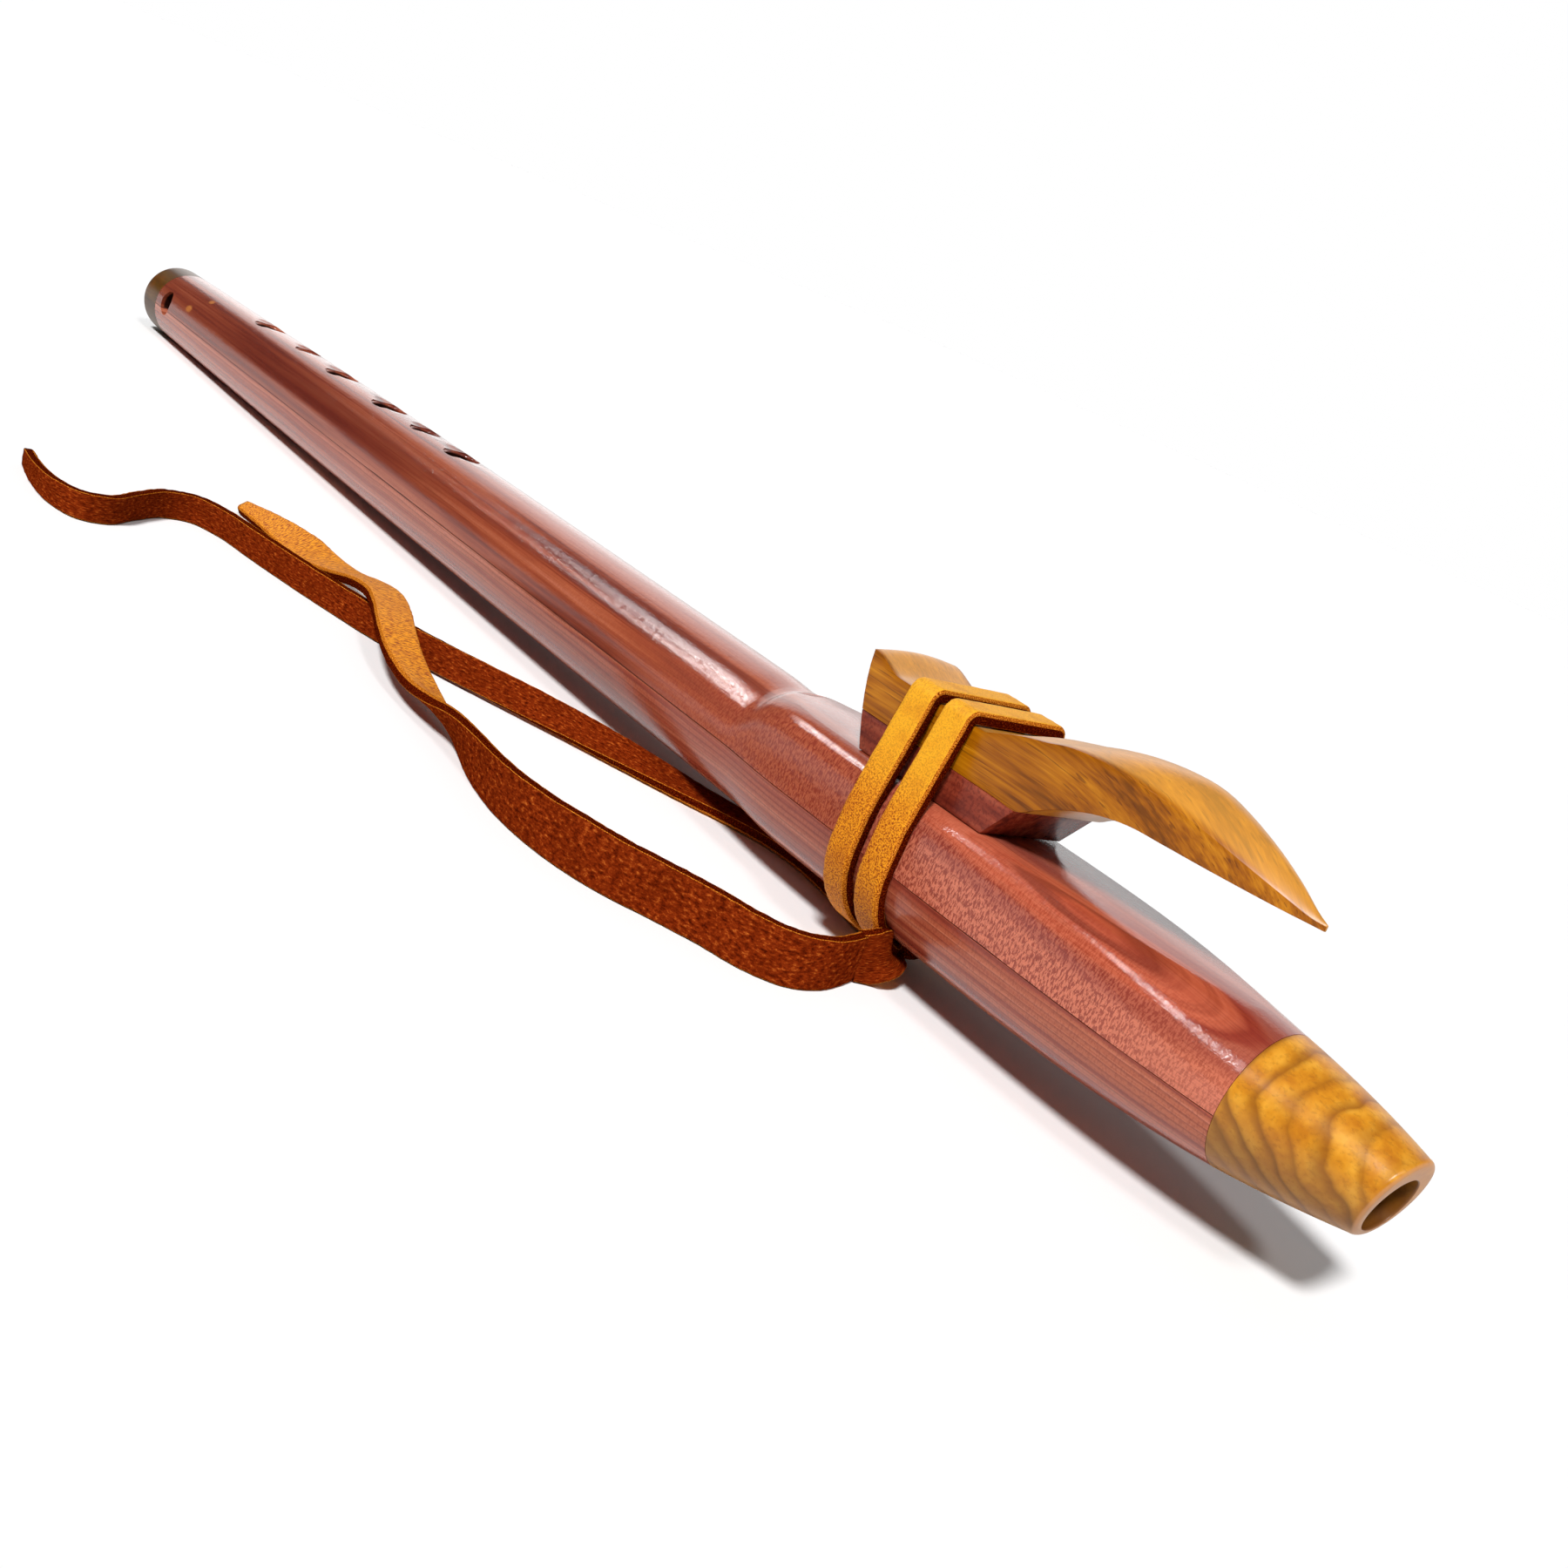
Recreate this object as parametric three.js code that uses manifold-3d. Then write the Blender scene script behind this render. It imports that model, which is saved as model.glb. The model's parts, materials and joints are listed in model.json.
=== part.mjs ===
// A six hole cedar flute with a strapped-on block: two glued cedar half shells, a turned
// mouthpiece and foot ring, a two layer block with a forward horn, and a leather lace.
// Millimetres, +Z up. The flute runs along X with its mouth end towards +X. It rests on its
// foot and on the lace knot, so the whole instrument leans up a little towards the mouth.
import * as THREE from 'three'
import { mergeVertices } from 'three/addons/utils/BufferGeometryUtils.js'
import Module from 'manifold-3d'

const wasm = await Module()
wasm.setup()

// Body, measured along its axis from the foot end: the sound chamber, the plug, the slow
// chamber and the mouthpiece follow each other
const soundChamberLength = 434
const plugThickness = 12
const slowChamberLength = 90
const footRadius = 12.6
const barrelRadius = 15.1
const nestRadius = 16.3
const mouthRadius = 8
const barrelPower = 2.3
const mouthTaperPower = 3
const mouthRise = 1.2
const boreRadius = 9.5
const glueLineDrop = 0.9
const glueGap = 0.3

// Foot ring and mouthpiece
const footRingLength = 15
const mouthpieceLength = 26
const endEdgeRadius = 2
const mouthEdgeRadius = 1.2
const mouthBoreRadius = 5.5
const mouthSlant = THREE.MathUtils.degToRad(12)
const spigotLength = 8
const seatClearance = 0.3

// Finger holes from the foot up, each in a shallow dish that is long along the grain
const firstHoleStation = 89.5
const holeSpacings = [33, 28.5, 36, 25, 24]
const holeRadii = [5.2, 3.7, 5.2, 5.4, 4.2, 5.1]
const dishDepth = 1.2
const dishHeight = 8
const dishLengthShare = 3.4
const dishWidthShare = 2.1

// Direction holes, one on each side by the foot
const directionHoleStation = 25
const directionHoleRadius = 4.5
const directionHoleRise = 1.5

// Airway on the nest: the hole out of the slow chamber, the flue and the sound hole
const soundHoleLength = 6
const soundHoleWidth = 12
const soundHoleUndercut = 6
const exitHoleLength = 6
const flueDepth = 1
const flueWidth = 10

// Nest, the flat that the block stands on
const nestHeight = 14.8
const nestRearRun = 30
const nestStepRun = 4
const shoulderRun = 20
const shoulderLead = 6
const roundPower = 2
const shoulderPower = 5
const shoulderHeightShare = 0.95

// Block, measured along the flute from its rear foot, and in heights above the axis
const blockWidth = 24.4
const blockSeatGap = 0.3
const blockLength = 98.3
const blockBaseLength = 36
const blockBaseHeight = 7.1
const blockGlueGap = 0.3
const blockRearLean = 6.4
const blockRearPower = 1.6
const blockFrontLean = 5.1
const saddleHeight = 31.6
const saddleRearRun = 5.5
const saddleFrontRun = 2.2
const rearCrestHeight = 34
const rearCrown = 1
const hornCrestHeight = 42.6
const hornSoleHeight = 31

// Leather lace
const laceThickness = 2.6
const laceEdgeShare = 0.3
const wrapWidth = 7
const wrapPitch = 9.8
const wrapGap = 0.4
const frontWrapRun = 21.6
const knotLength = 23
const knotNearReach = 16
const knotFarReach = 12
const knotDepth = 26
const knotBulk = 6.9
const knotGap = 0.3
const tailLift = 0.05
const outerTailWidth = 10.4
const innerTailWidth = 7.4
const outerTailStep = 8.4
const innerTailStep = 8

// Facets, and how far cutting solids run past what they cut
const ringSides = 48
const boreSides = 36
const loopSteps = 28
const stationStep = 14
const cutOverrun = 3
const weldTolerance = 1e-4

const cedar = { color: 0x9a4a40, roughness: 0.3, metalness: 0 }
const yellowWood = { color: 0xc08a33, roughness: 0.32, metalness: 0 }
const leather = { color: 0xc9791c, roughness: 0.8, metalness: 0 }

// Stations that follow from the sizes
const plugFront = soundChamberLength + plugThickness
const capSeam = plugFront + slowChamberLength
const fluteLength = capSeam + mouthpieceLength
const nestStation = soundChamberLength + plugThickness / 2
const nestStart = soundChamberLength - nestRearRun
const blockRear = soundChamberLength - seatClearance
const blockFront = blockRear + blockBaseLength
const hornTip = blockRear + blockLength
const frontWrapStation = blockRear + frontWrapRun
const rearWrapStation = frontWrapStation - wrapPitch
const blockFloor = nestHeight + blockSeatGap
const laminateHeight = blockFloor + blockBaseHeight
const wrapDepth = wrapGap + laceThickness
const knotDrop = nestRadius + knotBulk

function smooth (share) {
  const s = Math.min(1, Math.max(0, share))
  return s * s * (3 - 2 * s)
}

function mix (from, to, share) {
  return from + (to - from) * share
}

// How far the body has swelled from the barrel to the nest
function swell (station) {
  return smooth((station - nestStart + shoulderLead) / shoulderRun)
}

function mouthShare (station) {
  return Math.min(1, Math.max(0, (station - blockFront) / (fluteLength - blockFront)))
}

// Outer radius at a station: a taper that flattens out, a swell at the nest, and a rounded
// fall to the mouth
function bodyRadius (station) {
  const footShare = (1 - Math.min(1, station / nestStart)) ** barrelPower
  const barrel = mix(barrelRadius, footRadius, footShare)
  const fall = (nestRadius - mouthRadius) * mouthShare(station) ** mouthTaperPower
  return mix(barrel, nestRadius, swell(station)) - fall
}

// The outside is turned a little above the bores' axis at the mouth
function bodyRise (station) {
  return mouthRise * smooth(mouthShare(station))
}

// The upper half of the body is squarer and lower round the nest, to carry the block's width
function bodyPoint (station, angle) {
  const y = Math.cos(angle)
  const z = Math.sin(angle)
  const out = smooth((capSeam - station) / (capSeam - blockFront))
  const share = z > 0 ? Math.min(swell(station), out) : 0
  const power = mix(roundPower, shoulderPower, share)
  const height = mix(1, shoulderHeightShare, share)
  const reach = bodyRadius(station) * (Math.abs(y) ** power + Math.abs(z / height) ** power) ** (-1 / power)
  return [y * reach, z * reach + bodyRise(station)]
}

// Solids and booleans
function solid (geometry) {
  const plain = geometry.clone()
  plain.deleteAttribute('normal')
  plain.deleteAttribute('uv')
  const merged = mergeVertices(plain, weldTolerance)
  return new wasm.Manifold(new wasm.Mesh({
    numProp: 3,
    vertProperties: new Float32Array(merged.attributes.position.array),
    triVerts: new Uint32Array(merged.index.array)
  }))
}

function skin (positions, index) {
  const geometry = new THREE.BufferGeometry()
  geometry.setAttribute('position', new THREE.BufferAttribute(new Float32Array(positions), 3))
  geometry.setIndex(new THREE.BufferAttribute(new Uint32Array(index), 1))
  geometry.computeVertexNormals()
  return geometry
}

function geometryOf (manifold) {
  const mesh = manifold.getMesh()
  return skin(mesh.vertProperties, mesh.triVerts)
}

// A closed skin through equal rings of points, with a fan over each end. Each ring's points
// turn right-handed about the way that the rings go.
function loft (rings) {
  const sides = rings[0].length
  const endStart = (rings.length - 1) * sides
  const points = rings.flat()
  const firstCentre = points.length
  const lastCentre = points.length + 1
  for (const ring of [rings[0], rings[rings.length - 1]]) {
    points.push(ring.reduce((sum, p) => sum.add(p), new THREE.Vector3()).divideScalar(sides))
  }
  const index = []
  for (let j = 0; j < sides; j++) {
    const k = (j + 1) % sides
    index.push(firstCentre, k, j, lastCentre, endStart + j, endStart + k)
    for (let row = 0; row < endStart; row += sides) {
      index.push(row + j, row + k, row + sides + k, row + j, row + sides + k, row + sides + j)
    }
  }
  return skin(points.flatMap(p => p.toArray()), index)
}

// A turned solid: rings of [station, radius, rise] round the flute's axis, or raised off it,
// closed on themselves
function turned (profile) {
  const closed = [...profile, profile[0]]
  const points = closed.map(([station, radius]) => new THREE.Vector2(radius, station))
  const geometry = new THREE.LatheGeometry(points, ringSides).rotateZ(-Math.PI / 2)
  const place = geometry.attributes.position
  for (let i = 0; i < place.count; i++) {
    place.setZ(i, place.getZ(i) + (closed[i % closed.length][2] ?? 0))
  }
  return geometry
}

function rod (radius, from, to) {
  return new THREE.CylinderGeometry(radius, radius, to - from, boreSides)
    .rotateZ(-Math.PI / 2).translate((from + to) / 2, 0, 0)
}

function box (x0, x1, y0, y1, z0, z1) {
  return new THREE.BoxGeometry(x1 - x0, y1 - y0, z1 - z0)
    .translate((x0 + x1) / 2, (y0 + y1) / 2, (z0 + z1) / 2)
}

// A side view outline of [station, height] pairs, given a width across Y
function sideCut (outline, width) {
  const shape = new THREE.Shape(outline.map(([station, height]) => new THREE.Vector2(station, height)))
  return new THREE.ExtrudeGeometry(shape, { depth: width, bevelEnabled: false })
    .rotateX(Math.PI / 2).translate(0, width / 2, 0)
}

// Body
function bodyBlank () {
  const count = Math.ceil((capSeam - footRingLength) / stationStep)
  return solid(loft(Array.from({ length: count + 1 }, (_, i) => {
    const station = mix(footRingLength, capSeam, i / count)
    return Array.from({ length: ringSides }, (_, j) => {
      return new THREE.Vector3(station, ...bodyPoint(station, 2 * Math.PI * j / ringSides))
    })
  })))
}

function nestCut () {
  const top = nestRadius + cutOverrun
  const steps = 5
  const ramp = Array.from({ length: steps + 1 }, (_, i) => {
    const share = i / steps
    return [nestStart - nestStepRun * share, mix(nestHeight, top, share * share)]
  })
  return solid(sideCut([...ramp, [capSeam, top], [capSeam, nestHeight]], 2 * top))
}

function airwayCuts () {
  const roof = nestHeight + cutOverrun
  const flueFloor = nestHeight - flueDepth
  const soundHoleEnd = blockRear - soundHoleLength
  const exitEnd = plugFront + exitHoleLength
  const soundHole = sideCut([
    [blockRear, 0], [blockRear, roof], [soundHoleEnd, roof],
    [soundHoleEnd, flueFloor], [soundHoleEnd - soundHoleUndercut, 0]
  ], soundHoleWidth)
  const exitHole = box(plugFront, exitEnd, -flueWidth / 2, flueWidth / 2, 0, roof)
  const flue = box(blockRear - seatClearance, exitEnd, -flueWidth / 2, flueWidth / 2, flueFloor, roof)
  return [soundHole, exitHole, flue].map(solid)
}

function fingerHoleCuts () {
  let station = firstHoleStation
  return holeRadii.flatMap((radius, i) => {
    if (i > 0) station += holeSpacings[i - 1]
    const surface = bodyRadius(station)
    const depth = surface + cutOverrun
    const hole = new THREE.CylinderGeometry(radius, radius, depth, boreSides)
      .rotateX(Math.PI / 2).translate(station, 0, depth / 2)
    const dish = new THREE.SphereGeometry(1, boreSides, boreSides).rotateX(Math.PI / 2)
      .scale(dishLengthShare * radius, dishWidthShare * radius, dishHeight)
      .translate(station, 0, surface + dishHeight - dishDepth)
    return [solid(hole), solid(dish)]
  })
}

function bodyHalves () {
  const wide = nestRadius + cutOverrun
  const sideReach = 2 * (footRadius + cutOverrun)
  const directionHole = new THREE.CylinderGeometry(directionHoleRadius, directionHoleRadius, sideReach, boreSides)
    .translate(directionHoleStation, 0, directionHoleRise)
  const cuts = [
    nestCut(), ...airwayCuts(), ...fingerHoleCuts(), solid(directionHole),
    solid(rod(boreRadius, footRingLength - cutOverrun, soundChamberLength)),
    solid(rod(boreRadius, plugFront, capSeam + cutOverrun))
  ]
  const body = cuts.reduce((rest, cut) => rest.subtract(cut), bodyBlank())
  const above = solid(box(0, fluteLength, -wide, wide, glueGap / 2 - glueLineDrop, wide))
  const below = solid(box(0, fluteLength, -wide, wide, -wide, -glueGap / 2 - glueLineDrop))
  return [geometryOf(body.intersect(above)), geometryOf(body.intersect(below))]
}

// The rounded edge of a turned end, from the outside in to the end face
function roundedEdge (end, radius, edgeRadius, inward) {
  const steps = 4
  return Array.from({ length: steps + 1 }, (_, i) => {
    const turn = Math.PI / 2 * i / steps
    return [end + inward * edgeRadius * (1 - Math.sin(turn)), radius - edgeRadius * (1 - Math.cos(turn))]
  })
}

function footRing () {
  const seam = footRingLength - seatClearance
  const edge = roundedEdge(0, bodyRadius(endEdgeRadius), endEdgeRadius, 1).reverse()
  return turned([[seam, boreRadius], [0, boreRadius], ...edge, [seam, bodyRadius(seam)]])
}

// The mouthpiece is turned, and its end is then cut on a slant that leaves the top longer
function mouthpiece () {
  const seam = capSeam + seatClearance
  const spigotRadius = boreRadius - seatClearance
  const steps = 6
  const edgeStart = fluteLength - mouthEdgeRadius
  const flank = Array.from({ length: steps }, (_, i) => {
    const station = mix(seam, edgeStart, i / steps)
    return [station, bodyRadius(station)]
  })
  const edge = roundedEdge(fluteLength, bodyRadius(edgeStart), mouthEdgeRadius, -1)
  const outside = [...flank, ...edge].map(([station, radius]) => [station, radius, bodyRise(station)])
  const geometry = turned([
    [seam - spigotLength, mouthBoreRadius], [seam - spigotLength, spigotRadius], [seam, spigotRadius],
    ...outside, [fluteLength, mouthBoreRadius]
  ])
  const place = geometry.attributes.position
  for (let i = 0; i < place.count; i++) {
    const share = Math.max(0, (place.getX(i) - capSeam) / mouthpieceLength)
    place.setX(i, place.getX(i) + place.getZ(i) * share * Math.tan(mouthSlant))
  }
  return geometry
}

// Block. Its rear face leans back over the sound hole, ever less towards the top.
function rearFace (height) {
  const share = Math.min(1, (height - blockFloor) / (rearCrestHeight - blockFloor))
  return blockRear - blockRearLean * (1 - (1 - share) ** blockRearPower)
}

function blockBase () {
  const steps = 3
  const rear = Array.from({ length: steps + 1 }, (_, i) => {
    const height = mix(laminateHeight, blockFloor, i / steps)
    return [rearFace(height), height]
  })
  return sideCut([...rear, [blockFront, blockFloor], [blockFront + blockFrontLean, laminateHeight]], blockWidth)
}

// Rings along the horn, from the front of the saddle to the tip: how far along, how much of
// the crest's rise the middle and the side edges have, how much of the width, and how much of
// the sole's rise the underside
const hornShares = [
  [0, 0, 0, 1, 0], [0.07, 0.21, 0.18, 1, 0], [0.13, 0.4, 0.31, 1, 0], [0.2, 0.54, 0.42, 1, 0],
  [0.25, 0.63, 0.52, 1, 0.24], [0.31, 0.76, 0.59, 0.98, 0.51], [0.4, 0.9, 0.62, 0.93, 0.81],
  [0.5, 0.99, 0.6, 0.85, 0.98], [0.6, 1, 0.53, 0.75, 1], [0.7, 0.86, 0.42, 0.62, 1],
  [0.8, 0.65, 0.28, 0.46, 1], [0.89, 0.4, 0.15, 0.29, 1], [0.96, 0.16, 0.04, 0.12, 1], [1, 0.05, 0.02, 0.02, 1]
]

// One ring of the block's top layer, over its crowned top and down its two sides
function blockRing (stationAt, half, sole, edge, crown) {
  const steps = 8
  const top = Array.from({ length: steps + 1 }, (_, i) => {
    const share = i / steps
    return [mix(half, -half, share), mix(edge, crown, Math.sin(Math.PI * share))]
  })
  return [[half, sole], ...top, [-half, sole]].map(([y, z]) => new THREE.Vector3(stationAt(z), y, z))
}

function blockTop () {
  const sole = laminateHeight + blockGlueGap
  const half = blockWidth / 2
  const saddleRear = rearWrapStation - wrapWidth / 2 - saddleRearRun
  const saddleFront = frontWrapStation + wrapWidth / 2 + saddleFrontRun
  const steps = 4
  const rear = Array.from({ length: steps + 1 }, (_, i) => {
    const share = i / steps
    const edge = mix(rearCrestHeight, saddleHeight, smooth(share))
    const stationAt = height => mix(rearFace(height), saddleRear, share)
    return blockRing(stationAt, half, sole, edge, edge + rearCrown * (1 - share))
  })
  const horn = hornShares.map(([along, middle, side, wide, under]) => {
    const station = mix(saddleFront, hornTip, along)
    return blockRing(() => station, half * wide, mix(sole, hornSoleHeight, under),
      mix(saddleHeight, hornCrestHeight, side), mix(saddleHeight, hornCrestHeight, middle))
  })
  return loft([...rear, ...horn])
}

// Lace. The outline that a taut wrap goes round: body and block together.
function wrapOutline () {
  const half = blockWidth / 2
  const sides = 4 * ringSides
  const round = Array.from({ length: sides }, (_, j) => bodyPoint(nestStation, 2 * Math.PI * j / sides))
  return [[-half, saddleHeight], [half, saddleHeight], ...round]
}

// One ring of a flat strap, at its middle, from the way its width lies and the way its grain
// faces. The corners of the grain side are worn, and those of the flesh side may be too.
function strapRing (middle, across, outward, width, bothSides) {
  const w = width / 2
  const t = laceThickness / 2
  const worn = laceThickness * laceEdgeShare
  const flesh = bothSides ? [[-w, worn - t], [worn - w, -t], [w - worn, -t], [w, worn - t]] : [[-w, -t], [w, -t]]
  const grain = [[w, t - worn], [w - worn, t], [worn - w, t], [-w, t - worn]]
  return [...flesh, ...grain].map(([u, v]) => middle.clone().addScaledVector(across, u).addScaledVector(outward, v))
}

// The wraps run from the near side of the knot up over the block, down the far side, under
// the body to the rear turn, and over again to the far side of the knot.
const wrapStart = THREE.MathUtils.degToRad(232)
const wrapEnd = THREE.MathUtils.degToRad(-408)
const shiftStart = THREE.MathUtils.degToRad(-55)
const shiftEnd = THREE.MathUtils.degToRad(-115)

// Where a taut wrap touches the outline, in directions that turn evenly. Where the next touch is
// far off, the wrap runs straight to it, and both ends of that run are found and kept.
function touches (outline) {
  const touch = angle => {
    const [ny, nz] = [Math.cos(angle), Math.sin(angle)]
    const reach = ([y, z]) => y * ny + z * nz
    const place = outline.reduce((best, p) => reach(p) > reach(best) ? p : best)
    return { angle, place: new THREE.Vector2(...place) }
  }
  const steps = Math.round(loopSteps * (wrapStart - wrapEnd) / (2 * Math.PI))
  const list = [touch(wrapStart)]
  for (let i = 1; i <= steps; i++) {
    const next = touch(mix(wrapStart, wrapEnd, i / steps))
    let [before, after] = [list[list.length - 1], next]
    if (before.place.distanceTo(after.place) > blockWidth / 2) {
      for (let halvings = 0; halvings < 30; halvings++) {
        const between = touch((before.angle + after.angle) / 2)
        const nearer = between.place.distanceTo(before.place) < between.place.distanceTo(after.place)
        if (nearer) before = between
        else after = between
      }
      list.push(before, after)
    }
    list.push(next)
  }
  return list
}

function laceWraps () {
  const offset = wrapGap + laceThickness / 2
  const list = touches(wrapOutline())
  const normals = list.map(({ angle }) => new THREE.Vector3(0, Math.cos(angle), Math.sin(angle)))
  const middles = list.map(({ angle, place }, i) => {
    const shift = smooth((angle - shiftStart) / (shiftEnd - shiftStart))
    return new THREE.Vector3(frontWrapStation - wrapPitch * shift, place.x, place.y).addScaledVector(normals[i], offset)
  })
  const rings = middles.map((middle, i) => {
    const along = middles[Math.min(list.length - 1, i + 1)].clone().sub(middles[Math.max(0, i - 1)])
    const across = new THREE.Vector3().crossVectors(normals[i], along).normalize()
    return strapRing(middle, across, normals[i], wrapWidth, false)
  })
  console.log('least gap between the turns of the lace', leastGap(rings, loopSteps / 2).toFixed(2), 'mm')
  return loft(rings)
}

// The smallest distance between points of rings that are at least so many rings apart
function leastGap (rings, apart) {
  let least = Infinity
  for (let i = 0; i < rings.length; i++) {
    for (const ring of rings.slice(i + apart)) {
      for (const p of rings[i]) for (const q of ring) least = Math.min(least, p.distanceTo(q))
    }
  }
  return least
}

// A piece of a ring round the axis, between two stations, two radii and two angles
function sector (x0, x1, inner, outer, from, to) {
  const steps = 6
  const arc = (radius, a, b) => Array.from({ length: steps + 1 }, (_, i) => {
    const angle = mix(a, b, i / steps)
    return new THREE.Vector2(radius * Math.cos(angle), radius * Math.sin(angle))
  })
  const shape = new THREE.Shape([...arc(inner, from, to), ...arc(outer, to, from)])
  const standing = new THREE.Matrix4().set(0, 0, 1, x0, 1, 0, 0, 0, 0, 1, 0, 0, 0, 0, 0, 1)
  return new THREE.ExtrudeGeometry(shape, { depth: x1 - x0, bevelEnabled: false }).applyMatrix4(standing)
}

// How the instrument lies: on the foot's edge and on the underside of the knot
const knotStation = frontWrapStation - wrapPitch / 2
const footContactRadius = bodyRadius(endEdgeRadius)
const lean = Math.asin((knotDrop - footContactRadius) / (knotStation - endEdgeRadius))
const restingFoot = new THREE.Box3().setFromBufferAttribute(footRing().rotateY(-lean).attributes.position)
const lift = -restingFoot.min.z

function laceKnot () {
  const over = nestRadius + wrapGap
  const under = over + wrapDepth
  const from = rearWrapStation - wrapWidth / 2 - knotGap
  const to = from + knotLength
  const core = solid(box(from, to, -knotNearReach, knotFarReach, -knotDepth, -nestRadius / 2))
    .subtract(solid(rod(under, from - cutOverrun, to + cutOverrun)))
  const turn = THREE.MathUtils.degToRad(20)
  const stop = knotGap / over
  const reach = under + laceThickness / 2
  const farStart = wrapEnd + 4 * Math.PI
  const near = sector(frontWrapStation - wrapWidth / 2, to, over, reach, wrapStart + stop, wrapStart + turn)
  const far = sector(from, rearWrapStation + wrapWidth / 2, over, reach, farStart - turn, farStart - stop)
  const ground = box(0, fluteLength, -knotDepth, knotDepth, -knotDepth, 0).translate(0, 0, -lift).rotateY(lean)
  return geometryOf(core.add(solid(near)).add(solid(far)).subtract(solid(ground)))
}

// Tails. Each point is [x, y, lift, turn]: a place on the ground, how far the strap is held off
// it, and its turn about its own length in degrees: 0 is on edge with the grain side out to the
// right of its way, 90 is flat with the grain up and -90 flat with the flesh side up.
const outerTailPoints = [
  [178, -16.9, 0, 0], [179.6, -21.6, 0, 0], [181, -28, 0, 0], [179.8, -35.5, 0, 0], [174.5, -41.5, 0, 2],
  [166.5, -46, 0, 4], [158, -51.5, 0, 4], [149.5, -57.5, 0, 3], [140, -62, 0, 3], [129, -64.8, 0, 5],
  [117, -65.5, 0, 8], [104, -64, 0, 14], [93, -62.2, 0.3, 30], [82, -61, 1, 55], [71, -60.4, 3, 78],
  [59.5, -59.6, 5.6, 88], [47.5, -57, 7.8, 90], [36, -53, 8.5, 90], [25, -50, 8.4, 90],
  [14, -49.2, 6.8, 90], [3.5, -49.4, 4, 94], [-7, -49.6, 1.6, 104], [-18.5, -50.4, 0.2, 118],
  [-30, -51.6, 0, 128], [-41.5, -53, 0, 130], [-51, -54.8, 0, 126]
]
const outerTailWidthShares = [1, 1.1, 1.14, 1, 0.86, 0.9, 0.92, 0.94, 0.36]
const innerTailPoints = [
  [158, 5, 0, -90], [152, 6.5, 0, -90], [143, 8.2, 0, -90], [133, 8.6, 0, -90], [123, 6.6, 0, -88],
  [113, 1.4, 0, -84], [104, -5, 0, -76], [95, -11, 0, -64], [86, -17, 0, -52], [76, -23.4, 0, -40],
  [66, -30, 0, -30], [56, -36.6, 0, -20], [45, -43.6, 0, -12], [31, -51, 0, -4], [16, -56.6, 0, 0],
  [1, -61.6, 0, 2], [-14, -66, 0, 4], [-27, -69.6, 0, 6], [-34.4, -74.8, 0, 4], [-34, -83, 0, 0],
  [-27, -92.4, 0, 0], [-19.6, -101, 0, 0], [-19.4, -107.6, 0, 0], [-27, -111.4, 0, 2], [-40, -112, 0, 4],
  [-53, -110.6, 0, 6]
]
const innerTailWidthShares = [0.9, 0.95, 1, 1, 1, 1, 0.96, 0.9, 0.6]

function shareAt (shares, along) {
  const place = along * (shares.length - 1)
  const k = Math.min(shares.length - 2, Math.floor(place))
  return mix(shares[k], shares[k + 1], place - k)
}

function tailStrap (points, fullWidth, widthShares, step) {
  const route = new THREE.CatmullRomCurve3(points.map(([x, y]) => new THREE.Vector3(x, y, 0)), false, 'centripetal')
  const pose = new THREE.CatmullRomCurve3(points.map(p => new THREE.Vector3(p[2], p[3], 0)), false, 'catmullrom')
  const steps = Math.round(route.getLength() / step)
  const up = new THREE.Vector3(0, 0, 1)
  const middles = []
  const rings = []
  for (let i = 0; i <= steps; i++) {
    const t = route.getUtoTmapping(i / steps)
    const held = Math.max(0, pose.getPoint(t).x)
    const turn = THREE.MathUtils.degToRad(pose.getPoint(t).y)
    const width = fullWidth * shareAt(widthShares, i / steps)
    const stand = (Math.abs(Math.cos(turn)) * width + Math.abs(Math.sin(turn)) * laceThickness) / 2
    const middle = route.getPoint(t).setZ(tailLift + held + stand)
    const along = route.getTangent(t)
    const side = new THREE.Vector3().crossVectors(up, along)
    const grain = side.multiplyScalar(-Math.cos(turn)).addScaledVector(up, Math.sin(turn))
    rings.push(strapRing(middle, new THREE.Vector3().crossVectors(grain, along), grain, width, true))
    middles.push(middle)
  }
  const length = middles.slice(1).reduce((sum, p, i) => sum + p.distanceTo(middles[i]), 0)
  console.log('lace tail of', steps, 'steps,', length.toFixed(1), 'mm long')
  return loft(rings)
}

// Assembly
function piece (name, geometry, look) {
  const mesh = new THREE.Mesh(geometry, new THREE.MeshStandardMaterial(look))
  mesh.name = name
  return mesh
}

const [upperHalf, lowerHalf] = bodyHalves()
const flute = new THREE.Group()
flute.add(
  piece('body_upper_half', upperHalf, cedar),
  piece('body_lower_half', lowerHalf, cedar),
  piece('foot_ring', footRing(), yellowWood),
  piece('mouthpiece', mouthpiece(), yellowWood),
  piece('block_base', blockBase(), cedar),
  piece('block_top', blockTop(), yellowWood),
  piece('lace_wraps', laceWraps(), leather),
  piece('lace_knot', laceKnot(), leather)
)
flute.rotation.y = -lean
flute.position.set(-fluteLength / 2 * Math.cos(lean), 0, lift)

const outerTail = tailStrap(outerTailPoints, outerTailWidth, outerTailWidthShares, outerTailStep)
const innerTail = tailStrap(innerTailPoints, innerTailWidth, innerTailWidthShares, innerTailStep)
const part = new THREE.Group()
part.add(flute, piece('lace_tail_outer', outerTail, leather), piece('lace_tail_inner', innerTail, leather))

// The origin lies under the middle of the flute
const middle = new THREE.Box3().setFromObject(flute, true).getCenter(new THREE.Vector3())
for (const child of part.children) child.position.x -= middle.x

export default part
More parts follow.
